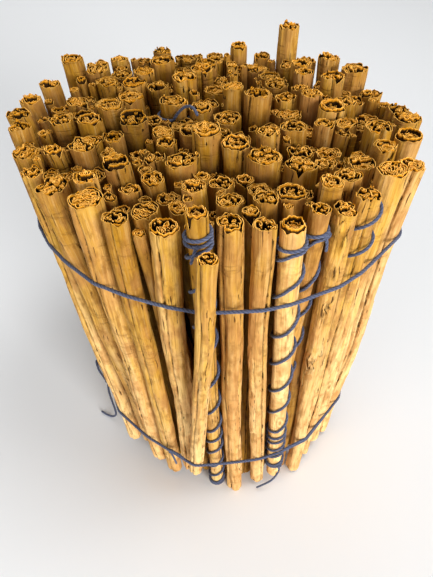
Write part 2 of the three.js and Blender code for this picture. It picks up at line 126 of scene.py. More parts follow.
class Waves:
    """A smooth random field of a few coordinates, mostly from -1 to 1."""

    def __init__(self, draw: np.random.Generator, *lengths: float, count: int = 6) -> None:
        """Draws the waves of the field.

        Args:
            draw: Source of the random numbers.
            lengths: A typical wavelength along each coordinate.
            count: Number of waves that are added up.
        """
        turns = draw.uniform(0.45, 1.6, (count, len(lengths))) * draw.choice([-1, 1], (count, len(lengths)))
        self.rates = math.tau * turns / np.array(lengths)
        self.phases = draw.uniform(0, math.tau, count)

    def __call__(self, *coordinates: Array) -> Array:
        """The field at some coordinates.

        Args:
            coordinates: One array for each wavelength, of shapes that broadcast.

        Returns:
            The values, in the shape of the arrays together.
        """
        total = 0.0
        for rates, phase in zip(self.rates, self.phases):
            total = total + np.sin(sum(rate * place for rate, place in zip(rates, coordinates)) + phase)
        return total / math.sqrt(0.9 * len(self.phases))


# ---------------------------------------------------------------- the plan of the sheaf


@dataclass
class Quill:
    """One quill: its size, its places at HEIGHT and at the floor, and how it looks."""

    radius: float
    at: list[float]
    top: float
    foot: float
    weight: float
    rim: bool = False
    foot_azimuth: float = 0.0
    inset: float = 0.0
    name: str = ""
    roll: Roll = Roll.PACKED
    tone: float = 0.5
    hue: float = 0.3
    foot_radius: float = 0.0
    stand: list[float] = field(default_factory=list)

    def axis(self, height: float | Array) -> Array:
        """X and Y of the quill's axis at one height or more, along a new last dimension."""
        share = np.asarray(height, float) / HEIGHT
        return np.stack([s + (a - s) * share for a, s in zip(self.at, self.stand)], axis=-1)

    def radius_at(self, height: float | Array) -> float | Array:
        """The quill's radius at some heights."""
        return self.foot_radius + (self.radius - self.foot_radius) * np.asarray(height, float) / HEIGHT


@dataclass(frozen=True)
class Placed:
    """A quill of the rim that has a place of its own.

    Its top stands out of the sheaf's outline by one distance and its foot back from it by another.
    """

    azimuth: float
    foot_azimuth: float
    diameter: float
    top: float
    foot: float
    out: float = 0.0
    inset: float = 0.0
    roll: Roll = Roll.PACKED
    tone: float = 0.5
    hue: float = 0.3
    name: str = ""


@dataclass(frozen=True)
class Behind:
    """A quill behind the front of the rim: its place, its diameter and its height."""

    azimuth: float
    distance: float
    diameter: float
    top: float
    roll: Roll = Roll.PACKED
    # painted shade: quills behind the rim are given a lower tone
    tone: float = 0.36
    hue: float = 0.3


RIM = (
    Placed(189.5, 190, 15, 307, 28, 0, -4, Roll.PACKED, 0.35, 0.15),
    Placed(200.5, 200.5, 19, 301, 20, 0, -3, Roll.FOLDED, 0.3, 0.2),
    Placed(211, 211.5, 14.5, 300, 16, 0, 0, Roll.PACKED, 0.42, 0.2),
    Placed(222, 213, 20.5, 301, 14, 0, 0, Roll.PAIRED, 0.42, 0.25),
    Placed(236.5, 226, 20, 306, 12, 0, 4, Roll.FOLDED, 0.45, 0.3),
    Placed(245, 237.5, 15.5, 302, 6, 0, 5, Roll.HORNS, 0.45, 0.3),
    Placed(257, 246.5, 17.5, 301, 14, 0, 10, Roll.PACKED, 0.52, 0.15),
    # painted shade: quill a's low tone of 0.32 darkens it as it stands in shade
    Placed(268.6, 263.2, 12, 316, 0, 0, 6, Roll.SCROLL, 0.32, 0.3, "a"),
    Placed(273.4, 271.5, 16, 305, 0, 0, 1, Roll.HORNS, 0.48, 0.85),
    Placed(280.8, 285.5, 13.5, 306, 6, 0, 2, Roll.HOLLOW, 0.55, 0.4),
    Placed(288.3, 297.5, 14, 303, 10, 0, 4, Roll.PACKED, 0.95, 0.15, "b"),
    Placed(293, 302, 12, 307, 6, -2, 20.5, Roll.HORNS, 0.55, 0.5, "c"),
    Placed(302, 308.5, 14.5, 303, 2, 0, 6, Roll.PAIRED, 0.62, 0.35),
    Placed(310.5, 319, 15, 305, 6, 1, 4, Roll.PAIRED, 0.68, 0.3, "d"),
    Placed(320.5, 331, 19, 311, 10, 1, 3, Roll.FOLDED, 0.75, 0.25),
    Placed(334, 342.5, 17.5, 300, 6, 5, 2, Roll.SCROLL, 0.72, 0.3),
    Placed(345.5, 350.5, 17.5, 305, 26, 0, 5, Roll.PACKED, 0.6, 0.3),
    Placed(356.5, 363.5, 19, 306, 20, 2, 2, Roll.FOLDED, 0.55, 0.3),
    Placed(393.5, 395.5, 20.5, 308, 0, 2, 0, Roll.SCROLL, 0.5, 0.2),
    Placed(406, 408, 17.5, 309, 0, 0, 0, Roll.PAIRED, 0.5, 0.2),
    Placed(423, 423, 17, 324, 10, 0, 0, Roll.PACKED, 0.5, 0.25),
    Placed(487, 486, 15, 304, 0, 0, 0, Roll.SCROLL, 0.45, 0.2),
    Placed(496.5, 496, 17, 305, 6, 0, 0, Roll.PAIRED, 0.45, 0.2),
    Placed(506, 506, 17, 314, 0, 3, 0, Roll.PACKED, 0.42, 0.2),
    Placed(518, 517, 17, 305, 0, 5, 0, Roll.HORNS, 0.4, 0.2),
    Placed(529.5, 529, 16, 304, 4, 5, 0, Roll.SCROLL, 0.38, 0.2),
    Placed(539.5, 539, 17.5, 304, 10, 7, 0, Roll.HORNS, 0.36, 0.2),
)

SECOND_ROW = (
    Behind(228, 106, 14.5, 306, Roll.SCROLL),
    Behind(239.5, 95, 12.5, 301, Roll.PACKED),
    Behind(250.5, 107.5, 16.5, 301, Roll.FOLDED),
    Behind(247, 85, 15, 304, Roll.PACKED),
    Behind(259, 105, 11.5, 302, Roll.SCROLL),
    Behind(261, 88, 15, 306, Roll.SCROLL),
    Behind(251.5, 66, 18.5, 308, Roll.HORNS),
    Behind(272.3, 77, 15.5, 301, Roll.HORNS),
    Behind(274, 102, 14.5, 306, Roll.PACKED),
    Behind(284.5, 104, 13.5, 308, Roll.HORNS),
    Behind(292.8, 65, 20, 310, Roll.PACKED),
    Behind(293, 101, 16, 305, Roll.PACKED),
    Behind(305.5, 83, 20.5, 308, Roll.PAIRED),
    Behind(305.5, 109, 15, 310, Roll.SCROLL, 0.5, 0.7),
    Behind(320.5, 103, 17, 306, Roll.FOLDED),
    Behind(207.5, 86, 20.5, 306, Roll.PAIRED),
    Behind(206.5, 106, 11, 304, Roll.SCROLL),
)


def polar(azimuth: float, distance: float) -> list[float]:
    """X and Y of a point at an azimuth, in degrees, and a distance from the axis."""
    return [distance * math.cos(math.radians(azimuth)), distance * math.sin(math.radians(azimuth))]


def signed(angle: Array) -> Array:
    """The same angle in radians, from minus to plus half a turn."""
    return (angle + math.pi) % math.tau - math.pi


@dataclass
class SheafPlan:
    """Where every quill stands. Its draws follow one order, so that the sheaf is always the same."""

    seed: int = 11
    seats: int = 118  # places tried for the quills inside the rim
    seat_radius: float = 110.0
    rim_inset: float = 8.0  # of the mean axis of the rim's quills
    rim_pitch: float = 18.0  # space along the rim for each quill that fills a gap in it
    rim_taper: float = 0.9  # a rim quill's radius at the floor against that at HEIGHT
    foot_taper: float = 0.8  # the same of an inner quill
    foot_pinch: float = 0.93  # how close together the inner quills' feet start, against the rim's
    crown: float = 16.0  # how far above HEIGHT an inner quill may end at the middle
    crown_fall: float = 0.1  # how much lower that limit is for each millimetre from the middle
    kept_weight: float = 0.3  # quills that are listed weigh less than this and aren't clamped
    filler: tuple[float, float] = (13.0, 6.0)  # least diameter of a rim quill in a gap, and its range
    filler_rise: float = 10.0  # furthest that its top lies from the middle of their heights
    filler_drop: float = 6.0  # of that middle below HEIGHT
    inner_size: tuple[float, float] = (11.5, 4.6)  # least diameter of an inner quill, and half its range
    inner_rise: float = 15.0  # furthest that its top lies from HEIGHT
    sunk_share: float = 0.12  # of the inner quills that are sunk further
    sunk: float = 12.0  # and how far
    crowding: float = 0.72  # share of two radii that may separate the axes of two quills
    foot_rise: float = 6.0  # highest foot of an inner quill
    leaning_radius: float = 5.9
    leaning_top: tuple[float, float, float] = (268.8, 146.2, 303.0)  # azimuth, distance and height
    leaning_foot: tuple[float, float, float] = (253.5, 98.5, 32.0)
    spots: int = 9000  # tried for thin quills
    slim_seed: int = 12
    slim_top: tuple[float, float] = (290.0, 15.0)  # lowest top of a thin quill, and its range
    slim_inset: float = 9.0  # of their axes inside the sheaf's outline
    slim_radius: tuple[float, float] = (2.3, 5.2)  # of the smallest and the largest of them
    twine_room: float = 3.0  # kept clear round a wound quill
    rolls: tuple[Roll, ...] = (Roll.PACKED, Roll.SCROLL, Roll.HORNS, Roll.FOLDED, Roll.PAIRED,
                               Roll.PACKED, Roll.SCROLL, Roll.HORNS, Roll.HOLLOW)

    def relax(self, points: list[list[float]], radii: list[float], weights: list[float],
              limit: float, rounds: int, gap: float) -> None:
        """Pushes overlapping circles apart, the light ones least, and keeps the heavy inside a limit.

        Args:
            points: Centres, which are changed in place.
            radii: Radius of each circle.
            weights: How readily each one moves.
            limit: Radius of the circle that the heavy ones stay in.
            rounds: Number of passes over all the pairs.
            gap: Clearance kept between two circles.
        """
        count = len(points)
        for _ in range(rounds):
            for i in range(count):
                first = points[i]
                for j in range(i + 1, count):
                    second = points[j]
                    dx = second[0] - first[0]
                    dy = second[1] - first[1]
                    reach = radii[i] + radii[j] + gap
                    if dx * dx + dy * dy >= reach * reach:
                        continue
                    distance = math.sqrt(dx * dx + dy * dy)
                    push = (0.6 * (reach - distance)) / distance
                    share = weights[i] / (weights[i] + weights[j])
                    first[0] -= dx * push * share
                    first[1] -= dy * push * share
                    second[0] += dx * push * (1 - share)
                    second[1] += dy * push * (1 - share)
            for point, radius, weight in zip(points, radii, weights):
                reach = limit - radius
                distance = math.sqrt(point[0] * point[0] + point[1] * point[1])
                if distance > reach and weight > self.kept_weight:
                    point[0] *= reach / distance
                    point[1] *= reach / distance

    def rim(self, draw: Draw) -> list[Quill]:
        """The quills of the rim, placed or filled in between.

        Args:
            draw: The plan's generator.

        Returns:
            The quills, in the order of their azimuths.
        """
        quills = []
        middle = RADIUS - self.rim_inset

        def add(row: Placed, weight: float) -> None:
            """Adds one quill with its side on the sheaf's outline."""
            radius = row.diameter / 2
            at = polar(row.azimuth, RADIUS + row.out - radius)
            quills.append(Quill(radius, at, row.top, row.foot, weight, True, row.foot_azimuth, row.inset,
                                row.name, row.roll, row.tone, row.hue))

        for k, row in enumerate(RIM):
            add(row, 0.1)
            following = RIM[(k + 1) % len(RIM)]
            turn = 360 if k + 1 == len(RIM) else 0
            sweep = following.azimuth + turn - row.azimuth
            free = math.radians(sweep) * middle - row.diameter / 2 - following.diameter / 2
            least, spread = self.filler
            diameters = [least + spread * draw() for _ in range(math.floor(free / self.rim_pitch))]
            gap = (free - sum(diameters)) / (len(diameters) + 1)
            along = row.diameter / 2
            for diameter in diameters:
                along += gap + diameter / 2
                azimuth = row.azimuth + math.degrees(along / middle)
                share = (azimuth - row.azimuth) / sweep
                foot_azimuth = row.foot_azimuth + share * (following.foot_azimuth + turn - row.foot_azimuth)
                top = HEIGHT - self.filler_drop + self.filler_rise * (draw() + draw() - 1)
                foot = max(0, 16 * draw() - 6)
                roll = self.rolls[len(quills) % len(self.rolls)]
                add(Placed(azimuth, foot_azimuth, diameter, top, foot, 0, 0, roll, 0.45, 0.25), 0.4)
                along += diameter / 2
        return quills

    def inside(self, quills: list[Quill], draw: Draw) -> None:
        """Adds the second row and the quills on a sunflower's pattern of seats.

        Args:
            quills: The rim's quills, which the others are added to.
            draw: The plan's generator.
        """
        for row in SECOND_ROW:
            foot = self.foot_rise * draw()
            at = polar(row.azimuth, row.distance)
            radius = row.diameter / 2
            quills.append(Quill(radius, at, row.top, foot, 0.2, roll=row.roll, tone=row.tone, hue=row.hue))
        golden_angle = 180 * (3 - math.sqrt(5))
        least, spread = self.inner_size
        for seat in range(self.seats):
            distance = self.seat_radius * math.sqrt((seat + 0.5) / self.seats)
            at = polar(seat * golden_angle, distance)
            radius = (least + spread * (draw() + draw())) / 2
            height = HEIGHT + self.inner_rise * (draw() + draw() - 1)
            height -= self.sunk if draw() < self.sunk_share else 0
            top = min(height, HEIGHT + self.crown - self.crown_fall * distance)
            if any(math.dist(q.at, at) < self.crowding * (q.radius + radius) + 0.5 for q in quills):
                continue
            roll = self.rolls[len(quills) % len(self.rolls)]
            quills.append(Quill(radius, at, top, self.foot_rise * draw(), 1.0, roll=roll, tone=0.4))

    def lay_out(self) -> list[Quill]:
        """Places every quill of the sheaf but the leaning one.

        Returns:
            The quills, with their places at HEIGHT and at the floor.
        """
        draw = Draw(self.seed)
        foot_limit = RADIUS * (1 - NARROWING * HEIGHT)
        quills = self.rim(draw)
        self.inside(quills, draw)
        room = [TWINE / 2 + GAP if q.name else 0.0 for q in quills]
        radii = [q.radius + r for q, r in zip(quills, room)]
        weights = [q.weight for q in quills]
        tops = [q.at for q in quills]
        self.relax(tops, radii, weights, RADIUS, 80, 1.2)
        self.relax(tops, radii, weights, RADIUS, 60, 0.8)
        for quill in quills:
            quill.foot_radius = (self.rim_taper if quill.rim else self.foot_taper) * quill.radius
            if quill.rim:
                quill.stand = polar(quill.foot_azimuth, foot_limit - quill.foot_radius - quill.inset)
            else:
                quill.stand = [c * self.foot_pinch * foot_limit / RADIUS for c in quill.at]
        foot_radii = [q.foot_radius + r for q, r in zip(quills, room)]
        self.relax([q.stand for q in quills], foot_radii, weights, foot_limit, 120, 0.4)
        for quill in quills:
            quill.stand[0] += LEAN
        return quills

    def slim(self, quills: list[Quill]) -> list[Quill]:
        """Thin quills in the widest gaps between the others.

        Args:
            quills: The others, laid out.

        Returns:
            The thin ones.
        """
        draw = np.random.default_rng(self.slim_seed)
        lowest, spread = self.slim_top
        spots = draw.uniform(-RADIUS, RADIUS, (self.spots, 2))
        spots = spots[np.hypot(spots[:, 0], spots[:, 1]) < RADIUS - self.slim_inset]
        room = np.full(len(spots), self.slim_radius[1])
        for quill in quills:
            away = np.hypot(spots[:, 0] - quill.at[0], spots[:, 1] - quill.at[1])
            room = np.minimum(room, away - quill.radius - (self.twine_room if quill.name else 0.0))
        slim = []
        while room.max() > self.slim_radius[0]:
            spot, radius = spots[room.argmax()], float(room.max())
            top = lowest + spread * draw.uniform()
            roll = self.rolls[len(slim) % len(self.rolls)]
            at = [float(c) for c in spot]
            # painted shade: thin quills between the others are given a low tone
            quill = Quill(radius, at, top, 12 * draw.uniform(), 1.0, roll=roll, tone=0.3)
            quill.foot_radius = self.foot_taper * radius
            foot_scale = self.foot_pinch * (1 - NARROWING * HEIGHT)
            quill.stand = [at[0] * foot_scale + LEAN, at[1] * foot_scale]
            slim.append(quill)
            room = np.minimum(room, np.hypot(spots[:, 0] - at[0], spots[:, 1] - at[1]) - radius)
        return slim

    def leaning(self) -> Quill:
        """The thin quill that is pushed in outside the upper band."""
        high, low, size = self.leaning_top[2], self.leaning_foot[2], self.leaning_radius
        top = self.leaning_end(*self.leaning_top)
        foot = self.leaning_end(*self.leaning_foot)
        at = [f + (t - f) * (HEIGHT - low) / (high - low) for f, t in zip(foot, top)]
        stand = [f - (t - f) * low / (high - low) for f, t in zip(foot, top)]
        return Quill(size, at, high, low, 0.1, True, roll=Roll.HORNS, tone=0.6, hue=0.35, foot_radius=size,
                     stand=stand)

    def leaning_end(self, azimuth: float, distance: float, height: float) -> list[float]:
        """X and Y of one end of the leaning quill, which follows the sheaf's lean."""
        x, y = polar(azimuth, distance)
        return [x + LEAN * (1 - height / HEIGHT), y]


def outermost(quills: Sequence[Quill], height: float, azimuth: float) -> Quill:
    """The quill that reaches furthest along an azimuth at a height."""
    out = np.array(polar(azimuth, 1))
    return max(quills, key=lambda q: float(q.axis(height) @ out) + float(q.radius_at(height)))


def beside(quill: Quill, height: float, azimuth: float, thickness: float) -> Array:
    """The middle of something of a thickness that lies on a quill's side, with the usual gap."""
    reach = float(quill.radius_at(height)) + thickness / 2 + GAP
    x, y = quill.axis(height) + np.array(polar(azimuth, reach))
    return np.array([x, y, height])


# ---------------------------------------------------------------- meshes


class Patch:
    """Grids of quads that are gathered into one mesh, with the coordinates that its finish reads."""

    def __init__(self) -> None:
        """Starts with no grid."""
        self.points: list[Array] = []
        self.quads: list[Array] = []
        self.grain: list[Array] = []
        self.trait: list[Array] = []
        self.count = 0

    def grid(self, points: Array, grain: Array, trait: Array, wrap: bool = False, flip: bool = False) -> None:
        """Adds one grid.

        Args:
            points: Rows by columns by three, in millimetres.
            grain: Of the same shape: distance across and along the fibres, and the piece's own offset.
            trait: Of a shape that broadcasts to it: tone, hue, and depth into the roll or the ply.
            wrap: Whether the last column joins the first.
            flip: Whether the faces turn over.
        """
        rows, columns = points.shape[:2]
        index = self.count + np.arange(rows * columns).reshape(rows, columns)
        after = np.roll(index, -1, axis=1) if wrap else index[:, 1:]
        here = index if wrap else index[:, :-1]
        corners = [here[:-1], after[:-1], after[1:], here[1:]]
        self.quads.append(np.stack(corners[::-1] if flip else corners, axis=-1).reshape(-1, 4))
        self.points.append(points.reshape(-1, 3))
        self.grain.append(np.broadcast_to(grain, points.shape).reshape(-1, 3))
        self.trait.append(np.broadcast_to(trait, points.shape).reshape(-1, 3))
        self.count += rows * columns

    def lid(self, outline: Array, grain: Array, trait: Array, flip: bool = False) -> None:
        """Adds a lid across a closed outline with an even number of points, as one strip of quads."""
        half = len(outline) // 2
        strip = np.stack([outline[:half], outline[half:][::-1]])
        self.grid(strip, grain, trait, flip=flip)

    def build(self, name: str, material: bpy.types.Material, shift: Array) -> bpy.types.Object:
        """Makes the gathered grids into an object.

        Args:
            name: Name of the piece.
            material: Its finish.
            shift: From the plan's frame to the model's, in millimetres.

        Returns:
            The object, linked to the scene.
        """
        points = (np.concatenate(self.points) + shift) * MM
        quads = np.concatenate(self.quads)
        mesh = bpy.data.meshes.new(name)
        mesh.vertices.add(len(points))
        mesh.vertices.foreach_set("co", points.astype(np.float32).ravel())
        mesh.loops.add(quads.size)
        mesh.loops.foreach_set("vertex_index", quads.astype(np.int32).ravel())
        mesh.polygons.add(len(quads))
        mesh.polygons.foreach_set("loop_start", np.arange(0, quads.size, 4, dtype=np.int32))
        for label, rows in (("grain", self.grain), ("trait", self.trait)):
            attribute = mesh.attributes.new(label, "FLOAT_VECTOR", "POINT")
            attribute.data.foreach_set("vector", np.concatenate(rows).astype(np.float32).ravel())
        mesh.update(calc_edges=True)
        mesh.validate()
        mesh.materials.append(material)
        mesh.polygons.foreach_set("use_smooth", np.ones(len(mesh.polygons), bool))
        return linked(name, mesh)


# ---------------------------------------------------------------- bark


# How deep the skin of a roll sinks in at its seam and opposite it, as shares of its radius.
WAISTS = {Roll.PAIRED: (0.34, 0.18), Roll.HORNS: (0.15, 0.0)}


@dataclass
class Section:
    """The outline of one quill at any height: a circle with dents, creases, a waist and a seam."""

    quill: Quill
    draw: np.random.Generator
    lap: float = 0.5  # how far one border of the skin lies inside the other at the seam
    crease: float = 0.05  # depth of the lengthwise creases, as a share of the radius
    fold: float = 0.09  # depth of the few broad folds, as a share of the radius

    def __post_init__(self) -> None:
        """Draws the unevenness of the quill."""
        draw, quill = self.draw, self.quill
        wound = bool(quill.name)
        self.turn = draw.uniform(0, math.tau)
        if quill.rim and not wound:
            self.turn = math.atan2(quill.at[1], quill.at[0]) + draw.uniform(-1.3, 1.3)
        self.drift = Waves(draw, 150.0)
        self.dents = Waves(draw, 1.3, 1.3, 50.0)
        self.creases = Waves(draw, 0.75, 0.75, 120.0)
        # Depth of the dents, flattening and depth of the seam, as shares of the radius.
        self.shallow = 0.02 if wound else 0.06 if quill.rim else 0.12
        self.swell = 1.0 if quill.rim else 1.09
        self.squash = 0.01 if wound else draw.uniform(0.0, 0.05 if quill.rim else 0.09)
        self.squash_turn = draw.uniform(0, math.pi)
        self.seam = 0.1 if wound else draw.uniform(0.12, 0.32)
        self.seam_width = draw.uniform(0.06, 0.16)
        self.folds = [(draw.uniform(0.6, math.tau - 0.6), draw.uniform(0.12, 0.3), Waves(draw, 130.0))
                      for _ in range(3)]
        self.seam_gap = Waves(draw, 48.0)
        self.bow = [Waves(draw, 240.0), Waves(draw, 240.0)]
        self.bend = 0.25 if wound else 0.8

    def open_at(self, height: Array) -> Array:
        """How open the seam is at some heights, from 0 to 1."""
        return np.clip(0.42 + 0.75 * self.seam_gap(height), 0, 1)

    def radius(self, angle: Array, height: Array) -> Array:
        """Distance from the axis to the skin.

        Args:
            angle: From the seam, in radians.
            height: In millimetres.

        Returns:
            The distance, in millimetres.
        """
        side = signed(angle)
        from_seam = np.abs(side)
        opposite = math.pi - from_seam
        radius = self.quill.radius_at(height) * self.swell
        x, y = np.cos(angle), np.sin(angle)
        dent = 0.5 + 0.5 * np.clip(self.dents(x, y, height), -1, 1)
        crease = np.clip(self.creases(x, y, height), -1, 1) * 0.5 + 0.5
        front, back = WAISTS.get(self.quill.roll, (0.0, 0.0))
        waist = front * np.exp(-((from_seam / 0.5) ** 2)) + back * np.exp(-((opposite / 0.5) ** 2))
        gape = 0.25 + 0.75 * self.open_at(height)
        notch = self.seam * gape * np.exp(-((from_seam / self.seam_width) ** 2))
        under = self.lap * np.exp(-from_seam / 0.45) * (side < 0)
        for place, width, wave in self.folds:
            away = np.abs(signed(angle - place - 0.15 * wave(height + 99)))
            under = under + self.fold * np.clip(wave(height), 0, 1) * radius * np.exp(-((away / width) ** 2))
        oval = 1 - self.squash * (1 + np.cos(2 * (angle - self.squash_turn)))
        shape = oval * (1 - self.shallow * dent) * (1 - self.crease * crease) * (1 - waist) * (1 - notch)
        return radius * shape - under

    def points(self, angle: Array, height: Array, inset: float | Array = 0.0,
               share: float | Array = 1.0) -> Array:
        """Points on the skin, or inside it.

        Args:
            angle: From the seam, in radians.
            height: In millimetres, of a shape that broadcasts with the angle.
            inset: Distance inside the skin.
            share: Share of the way from the axis to that surface.

        Returns:
            Points along a new last dimension.
        """
        angle, height = np.broadcast_arrays(np.asarray(angle, float), np.asarray(height, float))
        reach = (self.radius(angle, height) - inset) * share
        facing = angle + self.turn + 0.12 * self.drift(height)
        axis = self.quill.axis(height)
        x = axis[..., 0] + self.bend * self.bow[0](height) + reach * np.cos(facing)
        y = axis[..., 1] + self.bend * self.bow[1](height) + reach * np.sin(facing)
        return vectors(x, y, height)


@dataclass
class Filling:
    """The strips of bark that show inside one end of a quill, as lines in a disc of radius 1.

    Each kind of roll has a method of its name.
    """

    roll: Roll
    radius: float  # of the space inside the skin, in millimetres
    draw: np.random.Generator
    pitch: float = 0.78  # from one layer of a roll to the next, in millimetres
    smallest: float = 0.5  # radius of the smallest curls, in millimetres
    limit: float = 0.95  # of the part of the disc that is still free
    lines: list[Array] = field(default_factory=list)
    taken: list[tuple[float, float, float]] = field(default_factory=list)

    def __post_init__(self) -> None:
        """Lays the strips."""
        self.layer = self.pitch * self.draw.uniform(0.9, 1.2) / self.radius
        getattr(self, self.roll.value)()
        self.pack()
        self.crumple(0.13 if self.roll is Roll.FOLDED else 0.1)

    def hand(self) -> int:
        """1 for anticlockwise or -1 for clockwise."""
        return int(self.draw.choice([-1, 1]))

    def spiral(self, x: float, y: float, outer: float, inner: float, start: float, hand: int) -> None:
        """Adds one strip that is rolled up round a point, one layer further in with each turn.

        Args:
            x: The point.
            y: The point.
            outer: Radius where it starts.
            inner: Radius where it ends.
            start: Angle where it starts, in radians.
            hand: 1 for anticlockwise, -1 for clockwise.
        """
        turns = max(0.8, (outer - inner) / self.layer)
        share = np.linspace(0, 1, max(8, int(turns * 26)))
        angle = start + hand * turns * math.tau * share
        reach = outer + (inner - outer) * share
        self.lines.append(vectors(x + reach * np.cos(angle), y + reach * np.sin(angle)))

    def layers(self, count: float) -> None:
        """Rolls a sheet round the inside of the skin and keeps free what lies within it."""
        inner = self.limit - count * self.layer
        self.spiral(0, 0, self.limit, inner, self.draw.uniform(0, 6), self.hand())
        self.limit = inner - 0.4 * self.layer

    def curl(self, x: float, y: float, reach: float) -> None:
        """Adds one tight curl and takes its place.

        Args:
            x: Its middle.
            y: Its middle.
            reach: Its radius.
        """
        self.taken.append((x, y, reach))
        core = self.draw.uniform(0.3, 0.7) * self.layer
        self.spiral(x, y, reach - 0.45 * self.layer, core, self.draw.uniform(0, 6), self.hand())

    def scroll(self) -> None:
        """One sheet that goes round two or three times and ends in a curl."""
        self.layers(self.draw.uniform(2.0, 3.0))
        off = 0.12 * self.limit
        self.curl(off, off * self.hand(), 0.8 * self.limit)

    def horns(self) -> None:
        """Two edges that roll in from the seam, side by side."""
        self.layers(self.draw.uniform(0.7, 1.2))
        size = 0.5 * self.limit
        share = self.draw.uniform(0.85, 1.0)
        self.curl(0.22 * size, size, share * size)
        self.curl(0.22 * size, -size, (1.9 - share) * size * 0.95)

    def packed(self) -> None:
        """One or two loose turns just inside the skin."""
        self.layers(self.draw.uniform(1.0, 1.9))

    def paired(self) -> None:
        """Two rolls side by side, one in each half of a waisted skin."""
        for side in (-1, 1):
            self.curl(0.0, side * 0.49, self.draw.uniform(0.44, 0.47))

    def folded(self) -> None:
        """Sheets that run to and fro across the disc."""
        self.layers(0.9)
        tilt = self.draw.uniform(0, math.pi)
        turn = np.array([[math.cos(tilt), -math.sin(tilt)], [math.sin(tilt), math.cos(tilt)]])
        path: list[tuple[float, float]] = []
        for k, level in enumerate(np.arange(-0.96, 0.97, 1.1 * self.layer / self.limit)):
            reach = math.sqrt(1 - level * level) * self.draw.uniform(0.8, 1.0) * self.limit
            side = 1 if k % 2 else -1
            y = level * self.limit
            path += [(-side * reach, y), (-side * 0.3 * reach, y), (side * reach, y)]
            if self.draw.uniform() < 0.35:
                self.add_bent(path, turn)
                path = []
        self.add_bent(path, turn)
        self.limit = 0.0

    def add_bent(self, path: list[tuple[float, float]], turn: Array) -> None:
        """Adds a strip along a bent line, with its corners rounded."""
        if len(path) < 3:
            return
        self.lines.append(smoothed(np.array(path) @ turn.T, 3))

    def hollow(self) -> None:
        """A sheet that goes round twice, with an open middle and a few curls against it."""
        self.layers(self.draw.uniform(1.6, 2.4))
        self.taken.append((0.15 * self.limit, 0.1 * self.limit, 0.55 * self.limit))

    def pack(self) -> None:
        """Fills what is left with curls, the large ones first."""
        for size in (3.1, 2.5, 2.0, 1.6, 1.3, 1.05, 0.85, 0.65, 0.5):
            reach = size / self.radius
            if size < self.smallest or self.limit <= reach:
                continue
            for _ in range(int(90 / size**0.5)):
                distance = (self.limit - reach) * math.sqrt(self.draw.uniform())
                angle = self.draw.uniform(0, math.tau)
                x, y = distance * math.cos(angle), distance * math.sin(angle)
                if all(math.hypot(x - a, y - b) > 0.96 * (reach + c) for a, b, c in self.taken):
                    self.curl(x, y, reach)

    def crumple(self, size: float) -> None:
        """Bends all the strips together, as if the roll had been squeezed.

        Args:
            size: Furthest that a point moves, as a share of the disc's radius.
        """
        coarse = [Waves(self.draw, 0.9, 0.9) for _ in range(2)]
        fine = [Waves(self.draw, 0.34, 0.34) for _ in range(2)]
        for line in self.lines:
            x, y = line[:, 0].copy(), line[:, 1].copy()
            keep = np.clip(1.15 - x * x - y * y, 0.12, 1)
            for k in range(2):
                line[:, k] += keep * (size * coarse[k](x, y) + 0.3 * size * fine[k](x, y))
            reach = np.maximum(np.hypot(line[:, 0], line[:, 1]) / 0.96, 1)
            line /= reach[:, None]


def smoothed(line: Array, rounds: int = 2) -> Array:
    """A line whose corners are cut in some rounds, between its own first and last points."""
    for _ in range(rounds):
        before, after = line[:-1], line[1:]
        cut = np.stack([0.75 * before + 0.25 * after, 0.25 * before + 0.75 * after], axis=1)
        line = np.concatenate([line[:1], cut.reshape(-1, line.shape[1]), line[-1:]])
    return line


def resampled(line: Array, step: float) -> Array:
    """Points in nearly equal steps along a line.

    Args:
        line: Points, in two or three dimensions.
        step: Wanted distance between two points.

    Returns:
        The new points, with the line's own first and last.
    """
    lengths = np.concatenate([[0], np.cumsum(np.linalg.norm(np.diff(line, axis=0), axis=1))])
    count = max(3, int(round(lengths[-1] / step)) + 1)
    places = np.linspace(0, lengths[-1], count)
    return np.stack([np.interp(places, lengths, line[:, k]) for k in range(line.shape[1])], axis=-1)


@dataclass(frozen=True)
class Fineness:
    """How finely a quill is divided."""

    columns: int  # round its skin
    row: float  # height of a row of its skin where it shows
    step: float  # along the strips in its upper end
    foot_step: float  # and in its lower end


RIM_FINENESS = Fineness(44, 7.0, 0.5, 1.3)
INNER_FINENESS = Fineness(32, 12.0, 0.55, 2.0)
SLIM_FINENESS = Fineness(20, 24.0, 0.6, 2.6)


